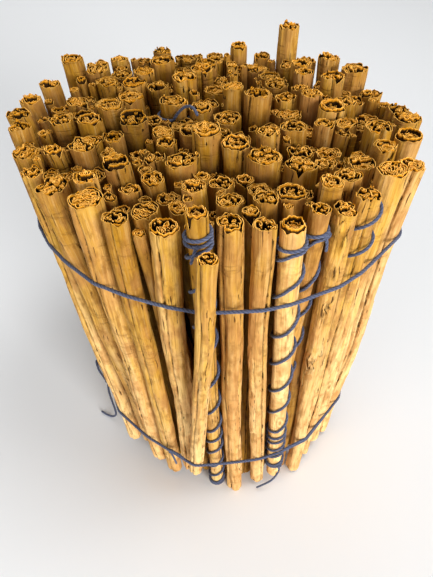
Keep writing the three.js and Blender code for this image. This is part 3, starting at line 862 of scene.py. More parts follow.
@dataclass
class QuillMaker:
    """Makes one quill: its skin, its two ends and the strips in them."""

    quill: Quill
    number: int  # seeds its draws
    fineness: Fineness
    wall: float = 0.38  # thickness of the skin
    strip: float = 0.33  # and of the strips
    depth: float = 8.0  # how far down an end can be seen into
    shown: float = 120.0  # length of an inner quill that can be seen
    lift: float = 0.55  # of a sleeve's outer face above the skin
    torn_share: float = 0.6  # of the ends that have two tears in their edge
    tear: tuple[float, float] = (1.2, 4.6)  # least and greatest depth of a tear
    tear_width: float = 0.16  # in radians
    strip_rise: tuple[float, float] = (-0.9, 0.7)  # of a strip's crest, from the end's own height
    proud_share: float = 0.14  # of the strips that stand proud
    proud: float = 2.0  # and by how much
    shadow: float = 0.52  # painted shade: how much an inner quill's tone falls between its neighbours, more further below its top

    def __post_init__(self) -> None:
        """Draws how the quill differs from the others."""
        self.draw = np.random.default_rng(5000 + self.number)
        self.section = Section(self.quill, self.draw)
        self.tone = float(np.clip(self.quill.tone + self.draw.normal(0, 0.07), 0, 1))
        self.hue = float(np.clip(self.quill.hue + self.draw.normal(0, 0.1), 0, 1))
        near = [0.0, 0.03, 0.065, 0.12, 0.21]
        spread = np.linspace(0.35, math.tau - 0.35, self.fineness.columns - 2 * len(near) + 1)
        self.angles = np.concatenate([near, spread, math.tau - np.array(near[:0:-1])])

    def grain(self, across: Array, along: Array) -> Array:
        """Coordinates along the fibres, with the quill's own offset."""
        return vectors(np.asarray(across, float) * MM, np.asarray(along, float) * MM, 0.37 * self.number)

    def trait(self, depth: float | Array, lighter: float | Array = 0.0) -> Array:
        """The tone, hue and depth of a part of the quill.

        Args:
            depth: Up to 0.25 for a crease in the skin, 0.3 for a broken edge, more inside the roll; the
                finish paints shade and the edges' highlight from it.
            lighter: What is added to the tone: the painted highlight of broken edges, the painted shade of
                inner quills, and the sleeves' own tone.

        Returns:
            The three along a new last dimension.
        """
        return vectors(self.tone + lighter, self.hue, np.asarray(depth, float))

    def edge(self, upper: bool) -> Callable[[Array], Array]:
        """The broken edge at one end.

        Args:
            upper: Whether it is the upper end.

        Returns:
            A function from angles to heights above the end's own height.
        """
        draw = self.draw
        slant = draw.uniform(0.1, 0.8) if upper else 0.3
        lean = draw.uniform(0, math.tau)
        rough = Waves(draw, 1.1, 1.1)
        chips = Waves(draw, 0.34, 0.34)
        torn = draw.uniform() < self.torn_share
        tears = [(draw.uniform(0, math.tau), draw.uniform(*self.tear)) for _ in range(2 if torn else 0)]

        def height(angle: Array) -> Array:
            """Height of the edge at some angles."""
            x, y = np.cos(angle), np.sin(angle)
            total = slant * np.cos(angle - lean) + 0.75 * rough(x, y) + 0.16 * chips(x, y)
            for place, deep in tears:
                away = np.abs(signed(angle - place))
                total = total - deep * np.exp(-((away / self.tear_width) ** 2))
            return total

        return height

    def rows(self) -> Array:
        """Shares of the quill's length at which its skin has a row, close together where it shows."""
        length = self.quill.top - self.quill.foot
        if self.quill.rim:
            return np.linspace(0, 1, int(length / self.fineness.row) + 1)
        upper = np.linspace(1 - self.shown / length, 1, int(self.shown / self.fineness.row) + 1)
        return np.concatenate([[0, 0.06, 0.14, 0.36], upper])

    def skin(self, patch: Patch) -> None:
        """Adds the outside of the roll, and the broken edge and inner face at both ends.

        Args:
            patch: What the quill's grids are added to.
        """
        quill, angles, section = self.quill, self.angles, self.section
        top = quill.top + self.edge(True)(angles)
        foot = quill.foot + np.abs(self.edge(False)(angles)) * 0.8
        heights = foot + (top - foot) * self.rows()[:, None]
        across = angles * quill.radius
        near_seam = np.minimum(angles, math.tau - angles)
        # painted shade along the seam, deeper where it gapes
        shade = 0.25 * np.exp(-((near_seam / 0.11) ** 2)) * (0.35 + 0.65 * section.open_at(heights))
        # painted shade: inner quills darken further below their tops, between their neighbours
        sunk = 0.0 if quill.rim else self.shadow * (1 - np.exp(-(quill.top - heights) / 26))
        skin = self.trait(shade, -sunk)
        patch.grid(section.points(angles, heights), self.grain(across, heights), skin, wrap=True)
        for edge, sign in ((top, 1), (foot, -1)):
            down = edge - sign * np.array([0.0, 1.5, 4.0, self.depth])[:, None]
            inner = section.points(angles, down, inset=self.wall)
            rim = np.stack([section.points(angles, edge), inner[0]])
            # painted highlight: the ring of the broken edge is lighter in tone
            patch.grid(rim, self.grain(across, edge), self.trait(np.full(rim.shape[:2], 0.3), 0.26),
                       wrap=True, flip=sign < 0)
            # painted shade: the inner face darkens with depth into the roll
            depth = np.array([0.36, 0.6, 0.8, 1.0])[:, None] * np.ones_like(down)
            patch.grid(inner, self.grain(across, down), self.trait(depth), wrap=True, flip=sign < 0)
            level = quill.top if sign > 0 else quill.foot
            # painted shade: a near-black lid down in the end, where only shade shows
            lid = section.points(angles, level - sign * (self.depth - 1.5), inset=self.wall)
            if len(lid) % 2:
                lid = lid[:-1]
            patch.lid(lid, self.grain(0.0, 0.0), self.trait(np.ones(1)), flip=sign < 0)

    def strips(self, patch: Patch, upper: bool) -> None:
        """Adds the rolled strips that show in one end.

        Args:
            patch: What the quill's grids are added to.
            upper: Whether it is the upper end.
        """
        quill = self.quill
        sign = 1 if upper else -1
        level = quill.top if upper else quill.foot
        step = self.fineness.step if upper else self.fineness.foot_step
        inner = float(quill.radius_at(level)) - self.wall
        filling = (Filling(quill.roll, inner, self.draw) if upper else
                   Filling(quill.roll, inner, self.draw, pitch=1.2, smallest=1.6))
        uneven = Waves(self.draw, 0.9, 0.9)
        jagged = Waves(self.draw, 1.6)
        for line in filling.lines:
            line = resampled(line * inner, step)
            angle = np.arctan2(line[:, 1], line[:, 0])
            share = np.clip(np.hypot(line[:, 0], line[:, 1]) / inner, 0, 0.97)
            along = np.arange(len(line)) * step
            rise = 0.45 * uneven(line[:, 0] / inner, line[:, 1] / inner) + 0.22 * jagged(along)
            own = self.draw.uniform(*self.strip_rise)
            rise = rise + own + (self.proud if self.draw.uniform() < self.proud_share else 0.0)
            crest = level + (sign * rise if upper else np.maximum(-rise, 0.2))
            self.ribbon(patch, angle, share, crest, along, sign)

    def ribbon(self, patch: Patch, angle: Array, share: Array, crest: Array, along: Array, sign: int) -> None:
        """Adds one standing strip.

        Args:
            patch: What its grids are added to.
            angle: Direction of each of its points from the axis.
            share: Their distance, as a share of the inside radius.
            crest: Height of its broken edge.
            along: Distance along it.
            sign: 1 where its edge is on top, -1 where it is below.
        """
        middle = self.section.points(angle, crest, self.wall, share)
        tangent = np.gradient(middle[:, :2], axis=0)
        tangent /= np.maximum(np.linalg.norm(tangent, axis=1, keepdims=True), 1e-9)
        side = np.zeros_like(middle)
        side[:, 0], side[:, 1] = -tangent[:, 1], tangent[:, 0]
        left, right = middle + side * self.strip / 2, middle - side * self.strip / 2
        sunk = crest - sign * (self.depth - 1)
        slope = self.quill.axis(sunk) - self.quill.axis(crest)
        drop = np.concatenate([slope, (sunk - crest)[:, None]], axis=1)
        # painted highlight: the strip's top edge is lighter in tone
        pale = self.trait(np.full((2, len(along)), 0.3), 0.24)
        patch.grid(np.stack([left, right]), self.grain(np.array([[0.0], [0.4]]), along), pale, flip=sign > 0)
        # painted shade: the strip's sides darken downwards into the roll
        deep = self.trait(np.array([[0.36], [1.0]]) * np.ones((2, len(along))))
        fibres = self.grain(along, np.array([[0.0], [9.0]]))
        patch.grid(np.stack([left, left + drop]), fibres, deep, flip=sign < 0)
        patch.grid(np.stack([right, right + drop]), fibres, deep, flip=sign > 0)

    def sleeve(self, patch: Patch) -> None:
        """Adds a second strip of bark that covers part of the skin, with torn borders."""
        quill, draw = self.quill, self.draw
        low = draw.uniform(quill.foot + 6, quill.top - 110)
        high = min(quill.top - 4, low + draw.uniform(60, 190))
        start = draw.uniform(0.3, 2.6)
        stop = start + draw.uniform(1.6, 3.2)
        brink = np.array([0.7 / (high - low), 0.7 / ((stop - start) * quill.radius)])
        rows, columns = (np.concatenate([[0], np.linspace(b, 1 - b, n), [1]]) for b, n in
                         zip(brink, (int((high - low) / self.fineness.row) + 3, 15)))
        s, t = rows[:, None], columns[None, :]
        torn = [Waves(draw, 0.34) for _ in range(4)]
        heights = low + 4.0 * torn[0](t) + (high - low + 5.0 * torn[1](t)) * s
        angles = start + 0.10 * torn[2](6 * s) + (stop - start + 0.12 * torn[3](6 * s)) * t
        border = np.zeros((s.shape[0], t.shape[1]), bool)
        border[[0, -1]] = border[:, [0, -1]] = True
        inset = np.where(border, 0.12, -self.lift)
        angles, heights = np.broadcast_arrays(angles, heights)
        points = self.section.points(angles, np.clip(heights, quill.foot + 1, quill.top - 1), inset)
        # painted shade along the torn border, where the sleeve stands off the skin; the sleeve's own tone
        # differs at random
        skin = self.trait(np.where(border, 0.22, 0.0), draw.uniform(-0.1, 0.12))
        patch.grid(points, self.grain(angles * quill.radius + 40, heights), skin)

    def make(self, patch: Patch) -> None:
        """Adds the whole quill.

        Args:
            patch: What its grids are added to.
        """
        self.skin(patch)
        self.strips(patch, True)
        self.strips(patch, False)
        if self.quill.rim and not self.quill.name:
            for _ in range(int(self.draw.integers(1, 4))):
                self.sleeve(patch)


# ---------------------------------------------------------------- twine


@dataclass
class TwineMaker:
    """Makes three-ply twine along lines, all with one finish."""

    seed: int = 77
    sides: int = 12
    step: float = 0.8  # along the twine
    lay_length: float = 7.5  # of one full twist

    def __post_init__(self) -> None:
        """Starts the generator of its unevenness."""
        self.draw = np.random.default_rng(self.seed)

    def frames(self, line: Array) -> tuple[Array, Array]:
        """Two directions across a line that turn with it as little as they can.

        Args:
            line: Points along the line.

        Returns:
            The two directions at each point.
        """
        tangents = np.gradient(line, axis=0)
        tangents /= np.linalg.norm(tangents, axis=1, keepdims=True)
        first = np.cross(tangents[0], [0.31, 0.17, 0.93])
        across = [first / np.linalg.norm(first)]
        for tangent in tangents[1:]:
            turned = across[-1] - tangent * float(across[-1] @ tangent)
            across.append(turned / np.linalg.norm(turned))
        across = np.array(across)
        return across, np.cross(tangents, across)

    def lay(self, patch: Patch, line: Array, thickness: float = TWINE, closed: bool = False) -> None:
        """Adds a length of twine.

        Args:
            patch: What its grid is added to.
            line: Points along its middle, in millimetres.
            thickness: Of the twine.
            closed: Whether its end meets its start.
        """
        line = resampled(line, self.step)
        across, up = self.frames(line)
        along = np.arange(len(line)) * self.step
        angle = turn_steps(self.sides)
        twist = math.tau * along / self.lay_length
        ply = np.abs(np.cos(1.5 * (angle[None, :] - twist[:, None])))
        fuzz = Waves(self.draw, 9.0, 2.2)(along[:, None], angle[None, :])
        reach = thickness / 2 * (0.78 + 0.22 * ply**0.7) * (1 + 0.045 * fuzz)
        if not closed:
            reach[[0, -1]] *= 0.45
        points = (line[:, None, :] + reach[..., None] * (np.cos(angle)[None, :, None] * across[:, None, :]
                  + np.sin(angle)[None, :, None] * up[:, None, :]))
        number = float(self.draw.uniform(0, 9))
        turned = (angle[None, :] - twist[:, None]) * thickness / 2
        grain = vectors(turned * MM, along[:, None] * MM, number)
        # depth, 1 where the plies meet, feeds the twine finish's painted shade
        patch.grid(points, grain, vectors(0.5, 0.0, 1 - ply), wrap=True)

    def knot(self, patch: Patch, at: Array, size: float, tilt: float) -> None:
        """Adds a small tight knot.

        Args:
            patch: What its grid is added to.
            at: Its middle.
            size: Half its width.
            tilt: Turn about the vertical, in radians.
        """
        t = np.linspace(0, math.tau, 90)
        loop = vectors(np.sin(t) + 2 * np.sin(2 * t), -0.8 * np.sin(3 * t), np.cos(t) - 2 * np.cos(2 * t))
        cosine, sine = math.cos(tilt), math.sin(tilt)
        turn = np.array([[cosine, -sine, 0], [sine, cosine, 0], [0, 0, 1]])
        self.lay(patch, at + (loop * (size - 0.8) / 3) @ turn.T, thickness=1.7)


def hull(points: Array) -> Array:
    """The convex outline of points in a plane, anticlockwise.

    Args:
        points: X and Y of each.

    Returns:
        The corners of the outline.
    """
    ordered = sorted(map(tuple, points))

    def half(walk: Sequence[tuple[float, float]]) -> list[tuple[float, float]]:
        """One side of the outline, along points in order."""
        side: list[tuple[float, float]] = []
        for x, y in walk:
            while len(side) > 1:
                (ax, ay), (bx, by) = side[-2:]
                if (bx - ax) * (y - ay) - (by - ay) * (x - ax) > 0:
                    break
                side.pop()
            side.append((x, y))
        return side[:-1]

    return np.array(half(ordered) + half(ordered[::-1]))


@dataclass
class Band:
    """A level round of twine, drawn tight round the skins of quills."""

    makers: Sequence[QuillMaker]
    height: float
    stand_off: float = 0.9  # of the twine's middle outside the skins
    step: float = 1.5  # from one point of its line to the next

    def __post_init__(self) -> None:
        """Finds where the twine lies."""
        angles = turn_steps(72)
        skins = [m.section.points(angles, self.height)[:, :2] for m in self.makers]
        self.outline = hull(np.concatenate(skins))

    def line(self) -> Array:
        """The closed line of the twine's middle, whose last point is at the first."""
        ring = resampled(np.concatenate([self.outline, self.outline[:1]]), self.step)[:-1]
        for _ in range(2):
            ring = (np.roll(ring, 1, axis=0) + 2 * ring + np.roll(ring, -1, axis=0)) / 4
        ahead = np.roll(ring, -1, axis=0) - np.roll(ring, 1, axis=0)
        ahead /= np.linalg.norm(ahead, axis=1, keepdims=True)
        ring = ring + self.stand_off * vectors(ahead[:, 1], -ahead[:, 0])
        turn = turn_steps(len(ring))
        height = self.height + 0.5 * np.sin(3 * turn + 1) + 0.35 * np.sin(7 * turn)
        line = vectors(*ring.T, height)
        return np.concatenate([line, line[:1]])

    def span(self, start: float, stop: float, rise: float) -> Array:
        """A second strand beside part of the band, which parts from it in between.

        Args:
            start: Azimuth where it leaves the band, seen from the sheaf's axis.
            stop: Azimuth where it joins it again.
            rise: How far above the band it is halfway.

        Returns:
            Points along the strand.
        """
        line = self.line()
        middle = LEAN * (1 - self.height / HEIGHT)
        azimuth = np.degrees(np.arctan2(line[:, 1], line[:, 0] - middle)) % 360
        part = line[(azimuth >= start) & (azimuth <= stop)]
        part = part[np.argsort(np.degrees(np.arctan2(part[:, 1], part[:, 0] - middle)) % 360)]
        share = np.linspace(0, 1, len(part))
        part[:, 2] += rise * np.sin(math.pi * share) ** 0.5
        return part


# Heights at which each wound twine crosses the front of its quill, from the foot up.
CROSSINGS = {
    "a": (5, 8, 24, 43, 70, 88, 105, 134, 168, 206, 238, 270, 295, 299, 303),
    "b": (31, 34, 51, 63, 76, 83, 95, 129, 158, 193, 221, 262, 288, 291),
    "c": (102, 113, 146, 185, 223, 250, 289, 292),
    "d": (268, 289),
}

KNOT_AZIMUTH = 195.0
KNOT_RADIUS = 2.7

# The two free ends of the lower band, from its knot: steps along X, Y and Z.
BOW = (
    (-1.3, -1.9, 2.9), (-1.7, -3.3, 7), (-2.4, -4.4, 11.5), (-3.5, -4.95, 16.2),
    (-4.9, -4.95, 20.8), (-5.7, -4.25, 23.6), (-6.5, -2.5, 25.7), (-7.3, -0.15, 26.5),
    (-7.8, 2.25, 25.8), (-7.95, 4.05, 23.7), (-7.6, 4.75, 20.8), (-6.4, 4.6, 16.4),
    (-5, 4, 12), (-3.7, 3, 7.8), (-2.7, 1.7, 4.6), (-2.2, 0.6, 3),
)
TAIL = (
    (-0.9, -0.6, -3.4), (-1.2, -0.9, -7), (-1.2, -1.2, -12), (-0.8, -1.4, -18), (-0.3, -1.5, -24),
    (0.3, -1.5, -30), (0.9, -1.4, -36), (1.3, -1.2, -41.5), (1.4, -0.9, -46), (0.9, -0.5, -49.7),
    (-0.5, 0.1, -52.8), (-2.8, 1, -54.9), (-5.8, 2.2, -55.75), (-9, 3.8, -55.8),
    (-12.1, 5.7, -55.8), (-15, 8, -55.8),
)


@dataclass(frozen=True)
class InnerTie:
    """A twine tied to a quill inside the sheaf, whose end sticks up."""

    azimuth: float
    distance: float
    depth: float
    end: Steps


INNER_TIES = (
    InnerTie(158, 36, 9, ((4, 0, 6), (8, -3, 11), (12, -8, 14), (15, -13, 14), (17, -18, 12))),
    InnerTie(214, 60, 8, ((1, -1, 6), (3, -3, 11), (6, -4, 15), (9, -4, 15), (11, -2, 13))),
)


@dataclass(frozen=True)
class SmallKnot:
    """A knot on a wound twine or a band, with a short end that hangs from it."""

    height: float
    azimuth: float
    size: float
    end: Steps


QUILL_KNOTS = {
    "a": SmallKnot(299, 262, 1.9, ((-1, -1.5, -3), (-2, -2, -6), (-2.6, -1.8, -9))),
    "b": SmallKnot(31, 300, 2.8, ((0.5, -1.5, -4), (-2, -3.5, -9), (-6, -5, -15), (-12, -5, -21),
                                  (-18, -4, -28))),
    "c": SmallKnot(290, 325, 3.6, ((0.4, -1, -3), (0.6, -1.4, -6), (0.5, -1.2, -9))),
}
BAND_KNOT = SmallKnot(57, 243, 3.0, ((1, -2, -2), (2.4, -2.6, -6), (3.4, -2.4, -11), (4, -2, -16)))


def wound(quill: Quill, crossings: Sequence[float], hidden: float = 0.0, stand_off: float = 0.85) -> Array:
    """The line of a twine that is wound on a quill and rises from left to right across its front.

    Args:
        quill: The quill.
        crossings: Heights at which it crosses the front.
        hidden: Part of a turn by which it starts and ends behind the quill.
        stand_off: Distance of its middle outside the skin.

    Returns:
        Points along the line.
    """
    last = len(crossings) - 2
    heights = np.array(crossings, float)
    turns = np.linspace(-hidden, last + 1 + hidden, 40 * (last + 1) + 1)
    whole = np.clip(np.floor(turns), 0, last).astype(int)
    share = turns - whole
    eased = share + WRAP_RISE * np.sin(math.tau * share) / math.tau
    height = heights[whole] + (heights[whole + 1] - heights[whole]) * eased
    angle = math.radians(270) + math.tau * turns
    axis = quill.axis(height)
    reach = quill.radius_at(height) + stand_off
    return vectors(axis[:, 0] + reach * np.cos(angle), axis[:, 1] + reach * np.sin(angle), height)


# ---------------------------------------------------------------- finishes


class Value:
    """A value socket that takes part in arithmetic. Each operation adds a Math node."""

    def __init__(self, tree: "Tree", socket: bpy.types.NodeSocket) -> None:
        """Wraps a socket of a tree."""
        self.tree = tree
        self.socket = socket

    def math(self, operation: str, *values: "Value | float", clamp: bool = False) -> "Value":
        """The result of one Math node, which stays from 0 to 1 if it is clamped."""
        settings = {"operation": operation, "use_clamp": clamp}
        return self.tree.value("ShaderNodeMath", settings, dict(enumerate(values)))

    def __add__(self, other: "Value | float") -> "Value":
        """The sum."""
        return self.math("ADD", self, other)

    __radd__ = __add__

    def __sub__(self, other: "Value | float") -> "Value":
        """The difference."""
        return self.math("SUBTRACT", self, other)

    def __rsub__(self, other: float) -> "Value":
        """The difference, with the number first."""
        return self.math("SUBTRACT", other, self)

    def __mul__(self, other: "Value | float") -> "Value":
        """The product."""
        return self.math("MULTIPLY", self, other)

    __rmul__ = __mul__

    def clamped(self) -> "Value":
        """The value, kept from 0 to 1."""
        return self.math("ADD", self, 0.0, clamp=True)

    def above(self, low: float, high: float) -> "Value":
        """A smooth step from 0 at low to 1 at high."""
        return self.tree.value("ShaderNodeMapRange", {"interpolation_type": "SMOOTHSTEP"},
                               {"Value": self, "From Min": low, "From Max": high})


class Tree:
    """The nodes of one material."""

    def __init__(self, name: str) -> None:
        """Makes the material with an output node and its shader."""
        self.material = bpy.data.materials.new(name)
        self.material.use_nodes = True
        self.nodes = self.material.node_tree.nodes
        self.links = self.material.node_tree.links
        self.nodes.clear()
        self.shader = self.add("ShaderNodeBsdfPrincipled")
        output = self.add("ShaderNodeOutputMaterial")
        self.links.new(self.shader.outputs[0], output.inputs[0])

    @cached_property
    def grain(self) -> tuple[Value, Value, Value]:
        """The mesh's coordinates across and along its fibres, in metres, and the piece's own offset."""
        return self.parts("grain")

    def add(self, kind: str, settings: dict | None = None, sockets: dict | None = None) -> bpy.types.Node:
        """Adds one node.

        Args:
            kind: Its type.
            settings: Its properties, which are set first.
            sockets: Values or links of its inputs, by name or number.

        Returns:
            The node.
        """
        node = self.nodes.new(kind)
        for name, value in (settings or {}).items():
            setattr(node, name, value)
        self.feed(node, sockets or {})
        return node

    def feed(self, node: bpy.types.Node, sockets: dict) -> None:
        """Sets or links the inputs of a node."""
        for key, value in sockets.items():
            target = node.inputs[key]
            if isinstance(value, Value):
                self.links.new(value.socket, target)
            elif isinstance(value, bpy.types.NodeSocket):
                self.links.new(value, target)
            else:
                target.default_value = value

    def value(self, kind: str, settings: dict | None = None, sockets: dict | None = None,
              output: int | str = 0) -> Value:
        """Adds one node and wraps an output of it."""
        return Value(self, self.add(kind, settings, sockets).outputs[output])

    def parts(self, attribute: str) -> tuple[Value, Value, Value]:
        """The three parts of a vector that each point of the mesh has."""
        source = self.add("ShaderNodeAttribute", {"attribute_type": "GEOMETRY", "attribute_name": attribute})
        split = self.add("ShaderNodeSeparateXYZ", None, {0: source.outputs["Vector"]})
        return tuple(Value(self, socket) for socket in split.outputs)

    def vector(self, x: Value | float, y: Value | float, z: Value | float) -> Value:
        """A vector from its three parts."""
        return self.value("ShaderNodeCombineXYZ", None, {0: x, 1: y, 2: z})

    def streaks(self, wide: float, long: float, offset: float = 0.0, detail: float = 3.0) -> Value:
        """A noise that is stretched along the fibres of the mesh.

        Args:
            wide: How often it changes in a metre across them.
            long: How often it changes in a metre along them.
            offset: What sets it apart from the other noises.
            detail: Of the noise.

        Returns:
            The noise.
        """
        across, along, own = self.grain
        place = self.vector(across * wide, along * long, own + offset)
        return self.value("ShaderNodeTexNoise", {"noise_dimensions": "3D"},
                          {"Vector": place, "Scale": 1.0, "Detail": detail, "Roughness": 0.55})

    def mixed(self, first: "Value | Sequence[float]", second: "Value | Sequence[float]",
              share: Value | float, blend: str = "MIX") -> Value:
        """A colour between two, or two blended in another way."""
        settings = {"data_type": "RGBA", "blend_type": blend}
        colors = [c if isinstance(c, Value) else (*c, 1) for c in (first, second)]
        return self.value("ShaderNodeMix", settings, {0: share, 6: colors[0], 7: colors[1]}, 2)

    def layered(self, color: "Value | Color", *layers: "tuple[Color, Value | float]") -> Value:
        """A colour with others laid over it in turn, each by its share."""
        for other, share in layers:
            color = self.mixed(color, other, share)
        return color

    def bump(self, height: Value, distance: float, strength: float = 1.0) -> Value:
        """A normal that is tilted by a height."""
        sockets = {"Height": height, "Distance": distance, "Strength": strength}
        return self.value("ShaderNodeBump", None, sockets)


def linear(red: int, green: int, blue: int) -> Color:
    """A colour that is given in 0 to 255 as a screen shows it, in linear light."""
    def part(c: float) -> float:
        """One channel."""
        return c / 12.92 if c <= 0.04045 else ((c + 0.055) / 1.055) ** 2.4

    return part(red / 255), part(green / 255), part(blue / 255)


@dataclass(frozen=True)
class BarkFinish:
    """Dry inner bark: golden, with lengthwise streaks, dark slits, wrinkles and brown scars, and painted
    light: shade deep in the rolls and along the seam, lighter broken edges, lighter lower down.
    """

    name: str = "bark"
    rich: Color = (0.50, 0.238, 0.014)
    golden: Color = (0.58, 0.320, 0.052)
    pale: Color = (0.68, 0.462, 0.195)
    russet: Color = (0.47, 0.215, 0.060)
    brown: Color = (0.22, 0.090, 0.014)
    # painted highlight: the light colour of the broken edges
    crest: Color = (0.88, 0.470, 0.095)
    inside: Color = (0.47, 0.192, 0.007)
    # painted shade: the near black of the deep inside of the rolls, the seam and the dark core
    painted_shade: Color = (0.012, 0.005, 0.001)
    slit: Color = (0.065, 0.026, 0.006)

    def scars(self, tree: Tree) -> Value:
        """Round scars of twigs, each with a ring, on some of the bark.

        Args:
            tree: The nodes.

        Returns:
            1 in the middle of a scar and 0 away from it.
        """
        across, along, own = tree.grain
        place = tree.vector(across * 42, along * 17, own + 8.8)
        cells = tree.add("ShaderNodeTexVoronoi", {"voronoi_dimensions": "3D"},
                         {"Vector": place, "Scale": 1.0})
        away = Value(tree, cells.outputs["Distance"])
        chosen = Value(tree, cells.outputs["Color"]).above(0.52, 0.55)
        ring = away.above(0.10, 0.13) * (1 - away.above(0.15, 0.20))
        return ((1 - away.above(0.03, 0.09)) + ring * 0.45) * chosen

    def material(self) -> bpy.types.Material:
        """Builds the nodes.

        Returns:
            The material.
        """
        tree = Tree(self.name)
        tone, hue, depth = tree.parts("trait")
        fibres = tree.streaks(900, 30, 0.0, 4.0)
        streaks = tree.streaks(210, 9, 3.1)
        strands = tree.streaks(360, 40, 0.7)
        patches = tree.streaks(40, 15, 6.7, 2.0)
        clouds = tree.streaks(75, 42, 7.3)
        mottle = tree.streaks(170, 95, 1.3, 4.0)
        slits = tree.streaks(560, 48, 9.2).above(0.665, 0.70)
        dashes = tree.streaks(300, 120, 5.5, 4.0).above(0.50, 0.60)
        zones = tree.streaks(12, 24, 2.9, 1.0).above(0.50, 0.62)
        wrinkles = tree.streaks(45, 420, 4.4, 2.0).above(0.52, 0.70) * zones
        scars = self.scars(tree)
        skin = 1 - depth.above(0.26, 0.29)
        # painted shade along the seam and the sleeves' borders, broken into torn dashes
        seam = depth.above(0.02, 0.2) * skin
        torn = (seam * (0.15 + dashes * 0.85)).clamped()
        # painted light: low is 1 where the along coordinate is 0, so the skin is paler and lighter lower down
        low = 1 - tree.grain[1] * 3.3
        warm = (tone * 1.1 + low * 0.70 - 0.25 + (streaks - 0.5) * 0.8 + (clouds - 0.5) * 0.5).clamped()
        color = tree.layered(
            self.rich,
            (self.golden, warm.above(0.05, 0.5)),
            (self.pale, warm.above(0.38, 0.95)),
            (self.russet, (hue * 0.9 - 0.1 + (patches - 0.5) * 1.9).clamped()),
            (self.pale, fibres.above(0.5, 0.75) * 0.45),
            (self.brown, fibres.above(0.5, 0.25) * 0.5),
            (self.brown, strands.above(0.50, 0.68) * 0.5),
            (self.pale, strands.above(0.46, 0.28) * 0.3),
            (self.brown, mottle.above(0.47, 0.68) * 0.55),
            (self.russet, clouds.above(0.44, 0.62) * 0.45),
            (self.brown, clouds.above(0.56, 0.74) * 0.4),
            (self.brown, wrinkles * 0.3),
            (self.brown, scars.clamped() * 0.75),
            (self.slit, (slits * 0.9).clamped()),
            (self.painted_shade, torn * 0.95),
        )
        # broken edges: mottled between the inside's brown and the painted highlight of crest
        edge = tree.mixed(self.inside, self.crest, mottle.above(0.36, 0.52))
        color = tree.layered(
            tree.mixed(edge, color, skin),
            # below the broken edge the inner face takes its own brown, then painted shade turns it near black
            # deeper into the roll
            (self.inside, depth.above(0.31, 0.37)),
            (self.painted_shade, depth.above(0.37, 0.51) * 0.98),
        )
        # the quill's tone, with the painted light and shade it carries, and painted light lower down scale
        # the colour
        tone_and_painted_light = tone * 0.90 + low * 0.40 + 0.53
        color = tree.mixed(color, tree.vector(tone_and_painted_light, tone_and_painted_light, tone_and_painted_light), 1.0, "MULTIPLY")
        height = (fibres * 0.4 + streaks * 1.1 + mottle * 0.8 - strands * 0.7 - slits * 0.9 - torn * 0.9
                  - wrinkles * 0.45 - scars * 0.6 + patches * 1.0 + clouds * 0.8)
        tree.feed(tree.shader, {
            "Base Color": color,
            "Roughness": (0.86 - streaks * 0.22 + depth * 0.2).clamped(),
            "Normal": tree.bump(height, 0.0011, 0.9),
            "Specular IOR Level": 0.1,
        })
        return tree.material


@dataclass(frozen=True)
class TwineFinish:
    """Soft slate-blue twine, with painted shade between its plies."""

    name: str = "twine"
    slate: Color = linear(80, 87, 112)
    worn: Color = linear(122, 128, 150)
    ply_shade_and_wool: Color = linear(30, 34, 52)

    def material(self) -> bpy.types.Material:
        """Builds the nodes.

        Returns:
            The material.
        """
        tree = Tree(self.name)
        _, _, depth = tree.parts("trait")
        fibres = tree.streaks(3200, 420)
        wear = tree.streaks(700, 90, 2.0, 2.0)
        wool = tree.streaks(1900, 1500, 4.0, 2.0)
        # painted shade between the plies, with dark woolly fibres
        ply_shade_and_wool_mask = depth.above(0.25, 0.95) * 0.8 + wool.above(0.55, 0.75) * 0.3
        color = tree.layered(
            self.slate,
            (self.worn, fibres.above(0.45, 0.8) * 0.5),
            (self.worn, wear.above(0.5, 0.8) * 0.4),
            (self.ply_shade_and_wool, ply_shade_and_wool_mask.clamped()),
        )
        height = fibres * 0.6 + wool * 0.6 - depth.above(0.2, 1.0)
        tree.feed(tree.shader, {
            "Base Color": color,
            "Roughness": (0.97 - fibres * 0.1).clamped(),
            "Normal": tree.bump(height, 0.0003, 0.8),
            "Specular IOR Level": 0.15,
            "Sheen Weight": 0.2,
        })
        return tree.material


@dataclass(frozen=True)
class FloorFinish:
    """A pale matt floor."""

    name: str = "floor"
    pale: tuple[float, float, float] = (0.86, 0.874, 0.887)

    def material(self) -> bpy.types.Material:
        """Builds the nodes.

        Returns:
            The material.
        """
        tree = Tree(self.name)
        tree.feed(tree.shader, {"Base Color": (*self.pale, 1), "Roughness": 0.9})
        return tree.material


# ---------------------------------------------------------------- the sheaf and its studio


@dataclass
class Heart:
    """The dark middle of the sheaf, hidden between the quills: a near-black body that paints the shade there.
    """

    levels: tuple[float, ...] = (34.0, 120.0, 215.0)
    radii: tuple[float, ...] = (56.0, 74.0, 92.0)
    sides: int = 48

    def build(self, patch: Patch) -> None:
        """Adds its side and its two lids."""
        levels, radii = np.array(self.levels)[:, None], np.array(self.radii)[:, None]
        angle = turn_steps(self.sides)
        x = radii * np.cos(angle) + LEAN * (1 - levels / HEIGHT)
        y = radii * np.sin(angle)
        points = vectors(x, y, levels)
        grain = vectors(angle * 0.1, points[..., 2] * MM, 0.0)
        # painted shade: depth 1 makes it near black in the bark finish
        painted_shade = np.array([0.3, 0.2, 1.0])
        patch.grid(points, grain, painted_shade, wrap=True)
        patch.lid(points[-1], grain[-1][:1], painted_shade)
        patch.lid(points[0], grain[0][:1], painted_shade, flip=True)


